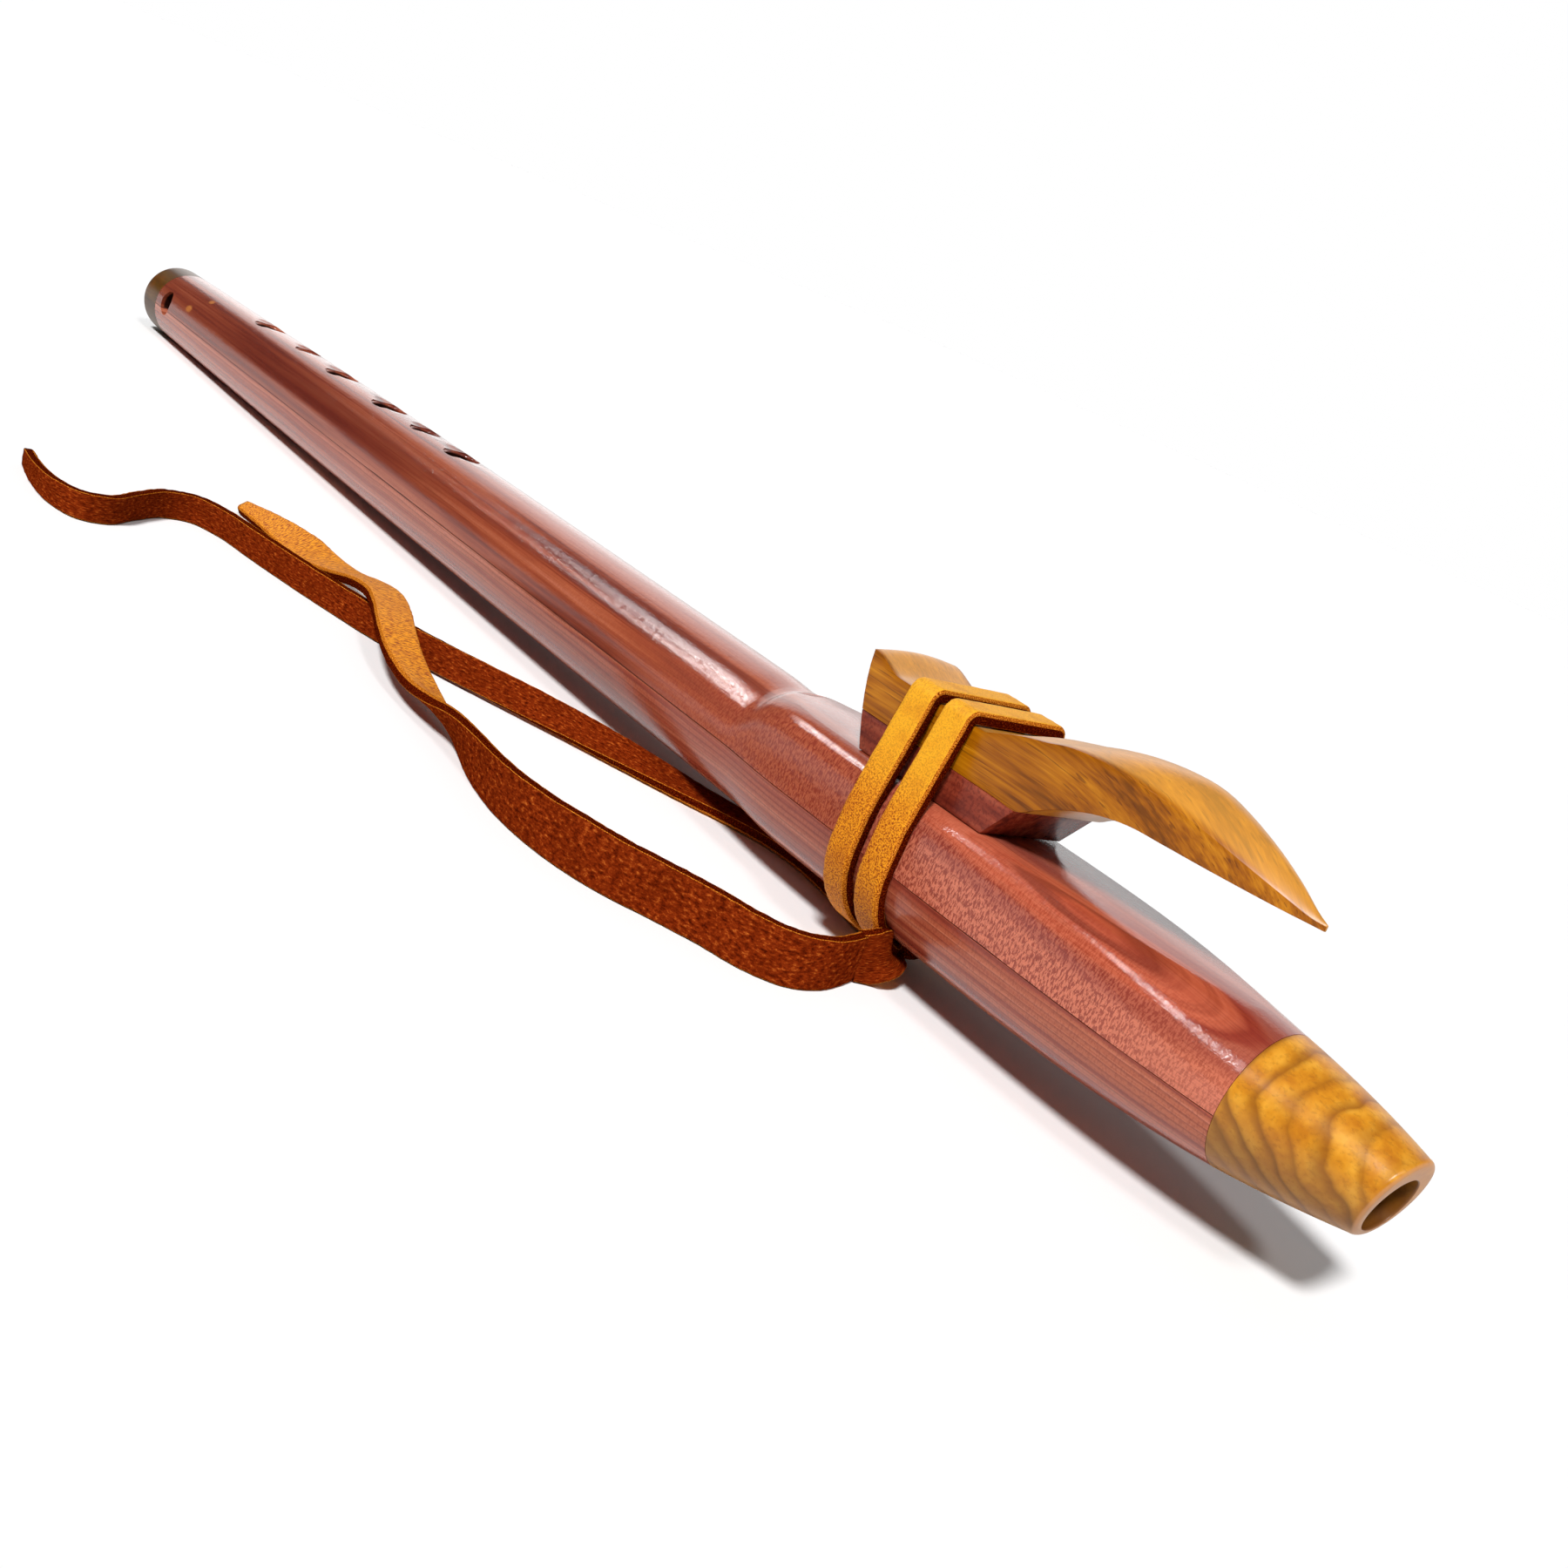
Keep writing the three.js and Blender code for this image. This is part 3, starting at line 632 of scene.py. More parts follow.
def strap(name, stations):
    """A strap through stations of middle, across, outward and width. Its UV map is in metres,
    round the strap and along it, and its sides have their own finishes."""
    shape = bmesh.new()
    uv = shape.loops.layers.uv.new("strap")
    rings, lengths, run = [], [], 0
    for i, (middle, across, outward, width) in enumerate(stations):
        if i:
            run += (middle - stations[i - 1][0]).length
        lengths.append(run)
        section = strap_section(width, LACE_THICKNESS)
        ring = []
        for y, z, side in section:
            place = middle + across * y + outward * z
            size = LACE_FUZZ if abs(y) > width / 2 - GRAIN_CORNER / 2 else LACE_ROUGHNESS
            worn = noise.noise(place * 700) + 0.5 * noise.noise(place * 1700)
            ring.append(shape.verts.new(place + (across * y + outward * z).normalized() * size * worn))
        rings.append(ring)
    sides = [side for _, _, side in section]
    count = len(sides)
    rounds = [0.0]
    for (y0, z0, _), (y1, z1, _) in zip(section, section[1:] + section[:1]):
        rounds.append(rounds[-1] + math.hypot(y1 - y0, z1 - z0))
    for i in range(len(rings) - 1):
        for j in range(count):
            k = (j + 1) % count
            face = shape.faces.new((rings[i][j], rings[i][k], rings[i + 1][k], rings[i + 1][j]))
            face.material_index = sides[j]
            face.smooth = True
            for loop, (a, b) in zip(face.loops, ((i, j), (i, j + 1), (i + 1, j + 1), (i + 1, j))):
                loop[uv].uv = (rounds[b], lengths[a])
    for ring, length in ((rings[0][::-1], 0), (rings[-1], lengths[-1])):
        face = shape.faces.new(ring)
        face.material_index = EDGE_SIDE
        for loop in face.loops:
            loop[uv].uv = (loop.vert.co.x, loop.vert.co.z)
    bmesh.ops.recalc_face_normals(shape, faces=shape.faces)
    mesh = bpy.data.meshes.new(name)
    shape.to_mesh(mesh)
    shape.free()
    piece = bpy.data.objects.new(name, mesh)
    bpy.context.scene.collection.objects.link(piece)
    return piece


# Tails of the lace. Each point is where it lies on the ground, how far it is held off, and its
# turn about its own length in degrees: 0 is on edge with the grain side out to the right of its
# way, 90 is flat with the grain up and -90 flat with the flesh side up.
OUTER_TAIL_POINTS = (
    (0.178, -0.0169, 0, 0), (0.1796, -0.0216, 0, 0), (0.181, -0.028, 0, 0), (0.1798, -0.0355, 0, 0),
    (0.1745, -0.0415, 0, 2), (0.1665, -0.046, 0, 4), (0.158, -0.0515, 0, 4), (0.1495, -0.0575, 0, 3),
    (0.14, -0.062, 0, 3), (0.129, -0.0648, 0, 5), (0.117, -0.0655, 0, 8), (0.104, -0.064, 0, 14),
    (0.093, -0.0622, 0.0003, 30), (0.082, -0.061, 0.001, 55), (0.071, -0.0604, 0.003, 78),
    (0.0595, -0.0596, 0.0056, 88), (0.0475, -0.057, 0.0078, 90), (0.036, -0.053, 0.0085, 90),
    (0.025, -0.05, 0.0084, 90), (0.014, -0.0492, 0.0068, 90), (0.0035, -0.0494, 0.004, 94),
    (-0.007, -0.0496, 0.0016, 104), (-0.0185, -0.0504, 0.0002, 118), (-0.03, -0.0516, 0, 128),
    (-0.0415, -0.053, 0, 130), (-0.051, -0.0548, 0, 126),
)
OUTER_TAIL_WIDTH_SHARES = (1, 1.1, 1.14, 1, 0.86, 0.9, 0.92, 0.94, 0.36)
INNER_TAIL_POINTS = (
    (0.158, 0.005, 0, -90), (0.152, 0.0065, 0, -90), (0.143, 0.0082, 0, -90),
    (0.133, 0.0086, 0, -90), (0.123, 0.0066, 0, -88), (0.113, 0.0014, 0, -84),
    (0.104, -0.005, 0, -76), (0.095, -0.011, 0, -64), (0.086, -0.017, 0, -52),
    (0.076, -0.0234, 0, -40), (0.066, -0.03, 0, -30), (0.056, -0.0366, 0, -20),
    (0.045, -0.0436, 0, -12), (0.031, -0.051, 0, -4), (0.016, -0.0566, 0, 0),
    (0.001, -0.0616, 0, 2), (-0.014, -0.066, 0, 4), (-0.027, -0.0696, 0, 6),
    (-0.0344, -0.0748, 0, 4), (-0.034, -0.083, 0, 0), (-0.027, -0.0924, 0, 0),
    (-0.0196, -0.101, 0, 0), (-0.0194, -0.1076, 0, 0), (-0.027, -0.1114, 0, 2),
    (-0.04, -0.112, 0, 4), (-0.053, -0.1106, 0, 6),
)
INNER_TAIL_WIDTH_SHARES = (0.9, 0.95, 1, 1, 1, 1, 0.96, 0.9, 0.6)
TAIL_SPAN_STEPS = 9


def share_at(shares, along):
    place = along * (len(shares) - 1)
    k = min(len(shares) - 2, int(place))
    return mix(shares[k], shares[k + 1], place - k)


def tail(name, points, full_width, width_shares, materials, node):
    marks = [AXIS_MIDDLE + Vector((x, y, 0)) for x, y, _, _ in points]
    route = curve_through(marks, TAIL_SPAN_STEPS, 0.5)
    poses = curve_through([Vector((lift, turn, 0)) for _, _, lift, turn in points], TAIL_SPAN_STEPS)
    places = [place for place, _ in route]
    runs = [0.0]
    for before, after in zip(places, places[1:]):
        runs.append(runs[-1] + (after - before).length)
    stations = []
    for place, way, run, (pose, _) in zip(places, ways_along(places), runs, poses):
        lift, turn = pose.x, math.radians(pose.y)
        width = full_width * share_at(width_shares, run / runs[-1])
        stand = (abs(math.cos(turn)) * width + abs(math.sin(turn)) * LACE_THICKNESS) / 2
        middle = place + Vector((0, 0, TAIL_LIFT + max(0, lift) + stand))
        along = way.normalized()
        side = Vector((0, 0, 1)).cross(along)
        outward = side * -math.cos(turn) + Vector((0, 0, 1)) * math.sin(turn)
        stations.append((middle, outward.cross(along).normalized(), outward, width))
    piece = strap(name, stations)
    registered(piece, materials, "flute", node)
    return piece


# Knot of the lace, in three straps that lie on the ground under the body: where they run, which
# way their grain side faces, and their width. Two lead from the wraps' ends to the tails, and the
# third is a loop between them.
KNOT_TO_OUTER_TAIL = (
    ((0.16476, 0.01204, 0.0097), (0, 0.669, -0.743), 0.007),
    ((0.1657, 0.009, 0.0048), (0.1, 0.5, -0.86), 0.0066),
    ((0.168, 0.0045, 0.0022), (0, 0.1, -1), 0.0064),
    ((0.173, -0.002, 0.0024), (0, 0.05, -1), 0.0068),
    ((0.1768, -0.0066, 0.004), (-0.2, 0.2, -0.95), 0.0078),
    ((0.1788, -0.0096, 0.0058), (-0.6, 0.35, -0.65), 0.0092),
    ((0.1794, -0.0118, 0.0064), (-0.9, 0.3, -0.25), 0.0108),
    ((0.1791, -0.0142, 0.0061), (-0.95, 0.25, 0.05), 0.0117),
    ((0.178, -0.0169, 0.0054), (-0.96, 0.1, 0), 0.0106),
)
KNOT_TO_INNER_TAIL = (
    ((0.17462, -0.0111, 0.0091), (0, -0.616, -0.788), 0.007),
    ((0.1743, -0.008, 0.0069), (-0.1, -0.35, -0.93), 0.007),
    ((0.1722, -0.0035, 0.0047), (-0.1, -0.1, -1), 0.0068),
    ((0.169, 0, 0.004), (0, 0, -1), 0.0066),
    ((0.164, 0.003, 0.0026), (0, 0, -1), 0.0066), ((0.158, 0.005, 0.00135), (0, 0, -1), 0.00666),
)
KNOT_LOOP = (
    ((0.166, -0.0005, 0.0052), (0.1, 1, 0), 0.0044), ((0.1705, -0.001, 0.0052), (0, 1, 0), 0.0044),
    ((0.1733, 0.0008, 0.0052), (-0.75, 0.65, 0), 0.0046), ((0.174, 0.0038, 0.0052), (-1, 0, 0), 0.0046),
    ((0.1727, 0.0068, 0.0052), (-0.6, -0.8, 0), 0.0044), ((0.169, 0.0082, 0.0052), (0, -1, 0), 0.0044),
    ((0.1655, 0.0082, 0.0052), (0.1, -1, 0), 0.0044),
)


def strap_between(name, marks):
    route = curve_through([AXIS_MIDDLE + Vector(place) for place, _, _ in marks], TAIL_SPAN_STEPS, 0.5)
    facing = curve_through([Vector(outward) for _, outward, _ in marks], TAIL_SPAN_STEPS)
    widths = curve_through([Vector((width, 0, 0)) for _, _, width in marks], TAIL_SPAN_STEPS)
    places = [place for place, _ in route]
    stations = []
    for middle, along, (out, _), (width, _) in zip(places, ways_along(places), facing, widths):
        across = out.cross(along).normalized()
        stations.append((middle, across, along.cross(across).normalized(), width.x))
    return strap(name, stations)


def knot(materials):
    straps = [
        strap_between("lace_knot_leather", KNOT_TO_OUTER_TAIL),
        strap_between("inner_lead", KNOT_TO_INNER_TAIL),
        strap_between("loop", KNOT_LOOP),
    ]
    for piece in straps:
        for material in materials:
            piece.data.materials.append(material)
    # Painted shade: the loop wears the dark cut-edge finish all round, as it lies in the shade under the
    # body.
    for face in straps[-1].data.polygons:
        face.material_index = EDGE_SIDE
    registered(joined(straps), (), "flute", "lace_knot")


# Wraps of the lace round body and block
WRAP_START = math.radians(232)
WRAP_END = math.radians(-408)
SHIFT_START = math.radians(-55)
SHIFT_END = math.radians(-115)
WRAP_STEPS = 320


def wrap_outline():
    half = BLOCK_WIDTH / 2
    skin = [body_point(NEST_STATION, angle).yz for angle in angles_round(6 * BODY_SIDES)]
    return [Vector((-half, SADDLE_HEIGHT)), Vector((half, SADDLE_HEIGHT))] + skin


def wraps(materials):
    outline = wrap_outline()
    touches = []
    for i in range(WRAP_STEPS + 1):
        angle = mix(WRAP_START, WRAP_END, i / WRAP_STEPS)
        out = Vector((math.cos(angle), math.sin(angle)))
        touch = max(outline, key=lambda p: p.dot(out))
        if touches and (touch - touches[-1][1]).length > BLOCK_WIDTH / 3:
            run_from, run_to = touches[-1][1], touch
            run_steps = 12
            for k in range(1, run_steps):
                touches.append((angle, run_from.lerp(run_to, k / run_steps)))
        touches.append((angle, touch))
    stations = []
    for angle, touch in touches:
        shift = smooth((angle - SHIFT_START) / (SHIFT_END - SHIFT_START))
        outward = Vector((0, math.cos(angle), math.sin(angle)))
        middle = Vector((mix(FRONT_WRAP_STATION, REAR_WRAP_STATION, shift), touch.x, touch.y))
        stations.append((middle + outward * (WRAP_GAP + LACE_THICKNESS / 2), outward))
    ways = ways_along([middle for middle, _ in stations])
    piece = strap("lace_wraps_leather", [
        (middle, outward.cross(along).normalized(), outward, WRAP_WIDTH)
        for (middle, outward), along in zip(stations, ways)
    ])
    piece.matrix_world = LIE
    apply_place(piece)
    registered(piece, materials, "flute", "lace_wraps")


# Finishes
def paint(red, green, blue):
    """A colour as it shows on a screen, each part from 0 to 255."""
    shades = [c / 255 for c in (red, green, blue)]
    return [c / 12.92 if c <= 0.04045 else ((c + 0.055) / 1.055) ** 2.4 for c in shades] + [1]


def is_socket(value):
    return isinstance(value, bpy.types.NodeSocket)


def step(kind, inputs, output=0, tree=None, **settings):
    """Adds a node to the tree that its inputs come from, and gives one of its sockets."""
    tree = tree or next(filter(is_socket, inputs.values())).id_data
    node = tree.nodes.new("ShaderNode" + kind)
    for setting, value in settings.items():
        setattr(node, setting, value)
    for socket, value in inputs.items():
        if is_socket(value):
            tree.links.new(value, node.inputs[socket])
        else:
            node.inputs[socket].default_value = value
    return node.outputs[output]


def parts(vector):
    return step("SeparateXYZ", {0: vector}, slice(None))


def combined(x, y, z=0.0):
    return step("CombineXYZ", {0: x, 1: y, 2: z})


def mapped(vector, location=(0, 0, 0), rotation=(0, 0, 0), scale=(1, 1, 1)):
    return step("Mapping", {"Vector": vector, "Location": location, "Rotation": rotation,
                            "Scale": scale})


def clouds(vector, scale, detail=2.0, roughness=0.5, distortion=0.0):
    return step("TexNoise", {"Vector": vector, "Scale": scale, "Detail": detail,
                             "Roughness": roughness, "Distortion": distortion})


def math_step(operation, a, b=0.0):
    return step("Math", {0: a, 1: b}, operation=operation)


def plus(a, b):
    return math_step("ADD", a, b)


def less(a, b):
    return math_step("SUBTRACT", a, b)


def times(a, b):
    return math_step("MULTIPLY", a, b)


def over(a, b):
    return math_step("DIVIDE", a, b)


def larger(a, b):
    return math_step("MAXIMUM", a, b)


def spread(x, x_scale, y, y_scale, z=0.0):
    """A point for a pattern that is drawn out along the grain."""
    return combined(times(x, x_scale), times(y, y_scale), z)


def distance(vector):
    return step("VectorMath", {0: vector}, 1, operation="LENGTH")


def ranged(value, start, end, low=0.0, high=1.0, **settings):
    """Low at the start and high at the end."""
    return step("MapRange", {"Value": value, "From Min": start, "From Max": end, "To Min": low,
                             "To Max": high}, **settings)


def between(value, start, end):
    """0 at the start and 1 at the end, smoothly."""
    return ranged(value, start, end, interpolation_type="SMOOTHSTEP")


def window(value, low, rise, fall, high):
    """1 from rise to fall, and 0 below low and above high."""
    return times(between(value, low, rise), between(value, high, fall))


def blend(share, low, high):
    return step("Mix", {0: share, 6: low, 7: high}, 2, data_type="RGBA")


def tinted(colour, tint, share, most):
    """The colour with a tint over it, where the share is 1 at its most."""
    return blend(times(share, most), colour, tint)


def ramp(value, stops):
    """Each stop is a place and a colour on screen, or a place and a share."""
    colour = step("ValToRGB", {0: value})
    marks = colour.node.color_ramp.elements
    while len(marks) < len(stops):
        marks.new(0.5)
    for mark, (place, *tone) in zip(marks, stops):
        mark.position = place
        mark.color = paint(*tone) if len(tone) == 3 else tone * 3 + [1]
    return colour


def bump(height, strength, depth):
    return step("Bump", {"Height": height, "Strength": strength, "Distance": depth})


LACQUER_HEIGHT = 0.02 * MM


def lacquer(weight, roughness, ior):
    return {"Coat_Weight": weight, "Coat_Roughness": roughness, "Coat_IOR": ior, "Roughness": 0.5,
            "Specular_IOR_Level": 0.0}


class Finish:
    def __init__(self, name, **shader):
        self.material = bpy.data.materials.new(name)
        self.material.use_nodes = True
        self.tree = self.material.node_tree
        self.shader = self.tree.nodes["Principled BSDF"]
        for socket, value in shader.items():
            self.shader.inputs[socket.replace("_", " ")].default_value = value

    def coordinates(self, kind):
        return step("TexCoord", {}, kind, self.tree)

    def axes(self):
        """Station, side and height of the point."""
        foot = Matrix.Rotation(LEAN, 3, "Y") @ -FOOT_CENTRE
        return mapped(self.coordinates("Object"), foot, (0, LEAN, 0))

    def done(self, colour, normal=None):
        self.tree.links.new(colour, self.shader.inputs["Base Color"])
        if normal:
            self.tree.links.new(normal, self.shader.inputs["Normal"])
        return self.material

    def lacquered(self, colour, rough, height=LACQUER_HEIGHT):
        """Roughness of the wood shows through the lacquer over it."""
        self.tree.links.new(bump(rough, 1.0, height), self.shader.inputs["Coat Normal"])
        return self.done(colour)


# Cedar. Places on it are stations, turns round the body in radians up from the near side, and
# depths across the growth layers past the block. Two marks are where something starts and is full,
# and four are where it starts, is full, is still full and ends. A knot is a station, a turn and a
# size.
CEDAR_TONES = (
    (0.28, 89, 34, 25), (0.4, 118, 52, 37), (0.5, 151, 72, 46),
    (0.6, 171, 90, 60), (0.74, 185, 106, 80),
)
CEDAR_LACQUER = lacquer(1.0, 0.1, 1.42)
CEDAR_LACQUER_HEIGHT = 0.04 * MM
HEART_STATIONS = (0.06, 0.12, 0.2, 0.3)
HEART_TURNS = (0.15, 0.4, 0.6, 0.9)
BROWN_STATIONS = (0.3, 0.12)
BROWN_TURNS = (-0.5, 0.1, 0.8, 1.3)
# Painted light on top: the stations and turns where the top is made paler pink
PAINTED_LIGHT_TOP_STATIONS = (0.22, 0.3)
PAINTED_LIGHT_TOP_TURNS = (0.95, 1.25)
FOOT_KNOTS = ((0.046, 0.38, 0.0016), (0.054, 0.92, 0.0012))
SPECKLED_STATIONS = (0.34, 0.42)
SPECKLED_TURNS = (1.1, 0.6)
SALMON_STATIONS = (0.43, 0.47)
CALM_STATIONS = (0.5, 0.545)
LAYERS_RISE_FROM = 0.44
LAYERS_MIDDLE = 0.49
DARK_LAYER = (0.0134, 0.0151, 0.0163, 0.0171)
FLAME_LAYER = (0.0163, 0.0171)
TONGUE_LAYER = (0.0185, 0.0187)
TONGUE_RIM = (0.0183, 0.01855, 0.0187, 0.019)
RING_LAYER = (0.0164, 0.0167, 0.0168, 0.0172)
RING_STATIONS = (0.515, 0.53)
HOLE_DEPTHS = (0.8 * MM, 1.6 * MM)
HOLE_STATIONS = (0.36, 0.34)


class Cedar(Finish):
    """Lacquered cedar of the body, which knows where on the body each point lies."""

    def __init__(self, name):
        super().__init__(name, **CEDAR_LACQUER)
        self.place = self.axes()
        self.station, self.side, self.height = parts(self.place)
        self.turn = math_step("ARCTAN2", self.height, times(self.side, -1.0))
        self.thread = self.grain_noise(90.0, 60.0, 0.6)
        self.worms = self.grain_noise(2500.0, 15.0, 0.6, 0.5)

    def grain_noise(self, along, round_body, roughness, distortion=0.0):
        place = spread(self.station, along, self.turn, round_body)
        return clouds(place, 1.0, 2.0, roughness, distortion)

    def threaded(self, colour, tint):
        """The colour with fine threads of a tint along the grain."""
        return blend(between(self.thread, 0.4, 0.8), colour, blend(0.3, colour, tint))

    def rippled(self, colour):
        """The lacquer lies in low ripples, with the wood's marks and threads on them."""
        wide = self.grain_noise(620.0, 9.0, 0.6)
        rough = plus(self.worms, times(self.thread, 0.4))
        return self.lacquered(colour, plus(wide, rough), CEDAR_LACQUER_HEIGHT)


def streaked(wood):
    """Long streaks, browner towards the foot, with a dark heart and fine dark lines, and a top painted
    paler pink as painted light.
    """
    streaks = spread(wood.station, 7.0, wood.turn, 4.2)
    colour = ramp(clouds(streaks, 1.0, 3.0, 0.55), CEDAR_TONES)
    brown = times(window(wood.turn, *BROWN_TURNS), between(wood.station, *BROWN_STATIONS))
    colour = tinted(colour, paint(96, 38, 26), brown, 0.5)
    heart = times(window(wood.turn, *HEART_TURNS), window(wood.station, *HEART_STATIONS))
    colour = tinted(colour, paint(86, 31, 22), heart, 0.6)
    lines = clouds(spread(wood.station, 5.0, wood.turn, 34.0, 4.0), 1.0, 1.0)
    colour = tinted(colour, paint(95, 31, 19), between(lines, 0.58, 0.68), 0.5)
    for spot, way, size in FOOT_KNOTS:
        along = times(less(wood.station, spot), 0.5)
        across = times(less(wood.turn, way), 0.012)
        off = distance(combined(along, across))
        colour = tinted(colour, paint(196, 124, 60), between(off, size, size * 0.4), 0.75)
    # Painted light: the top is made paler pink where it catches more light.
    top = times(between(wood.turn, *PAINTED_LIGHT_TOP_TURNS), between(wood.station, *PAINTED_LIGHT_TOP_STATIONS))
    return tinted(colour, paint(172, 96, 78), top, 0.6)


def speckled(wood, colour, past_block):
    """Salmon wood with short worm-like marks on the near side from the nest on."""
    area = times(between(wood.station, *SPECKLED_STATIONS), between(wood.turn, *SPECKLED_TURNS))
    salmon = blend(past_block, paint(177, 91, 64), paint(208, 118, 91))
    colour = tinted(colour, salmon, area, 0.85)
    calm = less(1.0, times(between(wood.station, *CALM_STATIONS), 0.6))
    strength = times(larger(area, 0.25), calm)
    marks = times(between(wood.worms, 0.45, 0.57), strength)
    return tinted(colour, paint(126, 44, 35), marks, 0.8)


def layered(wood, colour, past_block):
    """Growth layers lie across a way that leans to the near side, so that past the block they
    run out as a flame, a tongue and a ring on the taper to the mouth."""
    layer = plus(times(wood.side, -0.56), times(wood.height, 0.83))
    rise = less(larger(wood.station, LAYERS_RISE_FROM), LAYERS_MIDDLE)
    layer = plus(layer, times(rise, 0.055))
    bend = clouds(spread(wood.station, 32.0, wood.turn, 2.0), 1.0, 2.0)
    layer = plus(layer, times(less(bend, 0.5), 0.0014))
    dark = times(window(layer, *DARK_LAYER), past_block)
    colour = tinted(colour, paint(122, 42, 38), dark, 0.45)
    fine = clouds(spread(wood.station, 14.0, layer, 2600.0), 1.0, 2.0)
    flame_colour = ramp(fine, ((0.3, 146, 54, 33), (0.48, 179, 79, 52), (0.7, 197, 103, 76)))
    flame = times(between(layer, *FLAME_LAYER), past_block)
    colour = tinted(colour, flame_colour, flame, 0.65)
    tongue = times(between(layer, *TONGUE_LAYER), past_block)
    colour = tinted(colour, paint(157, 57, 35), tongue, 0.25)
    rim = times(window(layer, *TONGUE_RIM), past_block)
    colour = tinted(colour, paint(95, 24, 15), rim, 0.6)
    ring = times(window(layer, *RING_LAYER), between(wood.station, *RING_STATIONS))
    return tinted(colour, paint(123, 31, 24), ring, 0.7)


def dark_in_holes(wood, colour):
    """Near black, with no lacquer, inside the finger holes and the bore."""
    slim = larger(less(1.0, over(wood.station, NEST_START)), 0.0)
    slim = math_step("POWER", slim, BARREL_POWER)
    outside = less(BARREL_RADIUS, times(slim, BARREL_RADIUS - FOOT_RADIUS))
    depth = less(outside, distance(combined(0.0, wood.side, wood.height)))
    hole = times(between(depth, *HOLE_DEPTHS), between(wood.station, *HOLE_STATIONS))
    wood.tree.links.new(less(1.0, hole), wood.shader.inputs["Coat Weight"])
    return tinted(colour, paint(14, 6, 5), hole, 0.95)


def cedar_upper():
    wood = Cedar("cedar_upper")
    past_block = between(wood.station, *SALMON_STATIONS)
    colour = speckled(wood, streaked(wood), past_block)
    colour = wood.threaded(layered(wood, colour, past_block), paint(79, 26, 19))
    return wood.rippled(dark_in_holes(wood, colour))


def cedar_lower():
    """The lower half, with its growth rings seen as lines along it."""
    wood = Cedar("cedar_lower")
    bend = clouds(mapped(wood.place, scale=(0.2, 1, 1)), 110, 2)
    rings = over(plus(wood.height, times(bend, 0.002)), 0.0013)
    late = ramp(math_step("FRACT", rings), ((0, 0.0), (0.6, 0.1), (0.92, 1.0), (1, 0.0)))
    colour = ramp(clouds(spread(wood.station, 5.0, rings, 0.6), 1.0, 2.0, 0.5), (
        (0.3, 127, 50, 37), (0.45, 156, 72, 51), (0.58, 180, 97, 68), (0.72, 196, 116, 89)))
    colour = tinted(colour, paint(104, 38, 28), late, 0.6)
    colour = tinted(colour, paint(113, 43, 35), between(wood.worms, 0.5, 0.6), 0.3)
    return wood.rippled(wood.threaded(colour, paint(80, 27, 21)))


def cedar_block():
    wood = Finish("cedar_block", **lacquer(0.6, 0.25, 1.4))
    axes = wood.axes()
    colour = ramp(clouds(mapped(axes, scale=(0.12, 1, 1)), 420, 3, 0.6), (
        (0.32, 88, 28, 20), (0.5, 134, 52, 34), (0.68, 160, 76, 52)))
    marks = clouds(mapped(axes, scale=(0.8, 1, 0.6)), 1900, 2, 0.6)
    colour = tinted(colour, paint(80, 24, 18), between(marks, 0.5, 0.6), 0.45)
    return wood.lacquered(colour, marks)


def glue():
    return Finish("glue", Base_Color=paint(48, 18, 14), Roughness=0.5).material


# Golden woods
GOLD_LACQUER = lacquer(0.8, 0.3, 1.35)
GRAIN_BENDS_FROM = 0.475
GRAIN_BEND = 8.0
GOLD_TONES = ((0.36, 111, 58, 0), (0.46, 148, 81, 1), (0.54, 171, 101, 4), (0.66, 197, 127, 18))
FOOT_TONES = ((0.36, 55, 30, 2), (0.5, 76, 46, 5), (0.66, 96, 62, 10))

RING_SPACING = 0.0052
RING_TOP = 0.011
RING_BEND = 40.0


def golden_wood(name, tones, painted_light_on_crown=False):
    """Golden hardwood with dark pores drawn out along the grain, which follows the horn down. The
    horn's crown is painted paler, as painted light on its top."""
    wood = Finish(name, **GOLD_LACQUER)
    station, side, height = parts(wood.axes())
    past = larger(less(station, GRAIN_BENDS_FROM), 0.0)
    drop = times(times(past, past), GRAIN_BEND)
    axes = combined(station, side, plus(height, drop))
    wide = clouds(mapped(axes, scale=(0.2, 1, 1)), 150, 3, 0.6)
    fine = clouds(mapped(axes, scale=(0.04, 1, 1)), 1500, 2, 0.6)
    colour = ramp(plus(times(wide, 0.6), times(fine, 0.4)), tones)
    knotty = clouds(mapped(axes, scale=(0.6, 1, 1)), 110, 2)
    colour = tinted(colour, paint(140, 76, 6), between(knotty, 0.56, 0.74), 0.4)
    pores = clouds(mapped(axes, scale=(0.035, 1, 1)), 1900, 1.5, 0.6)
    colour = tinted(colour, paint(92, 42, 2), between(pores, 0.6, 0.68), 0.6)
    if painted_light_on_crown:
        # Painted light: the horn's crown is made paler where its top catches the light.
        along = over(less(station, SADDLE_FRONT), HORN_TIP - SADDLE_FRONT)
        reach = ramp(along, [(row[0], row[3]) for row in HORN_SHARES])
        across = over(math_step("ABSOLUTE", side), BLOCK_WIDTH / 2)
        crown = between(over(across, reach), 1.0, 0.85)
        colour = tinted(colour, paint(240, 176, 82), crown, 0.4)
    return wood.lacquered(colour, fine, LACQUER_HEIGHT / 2)


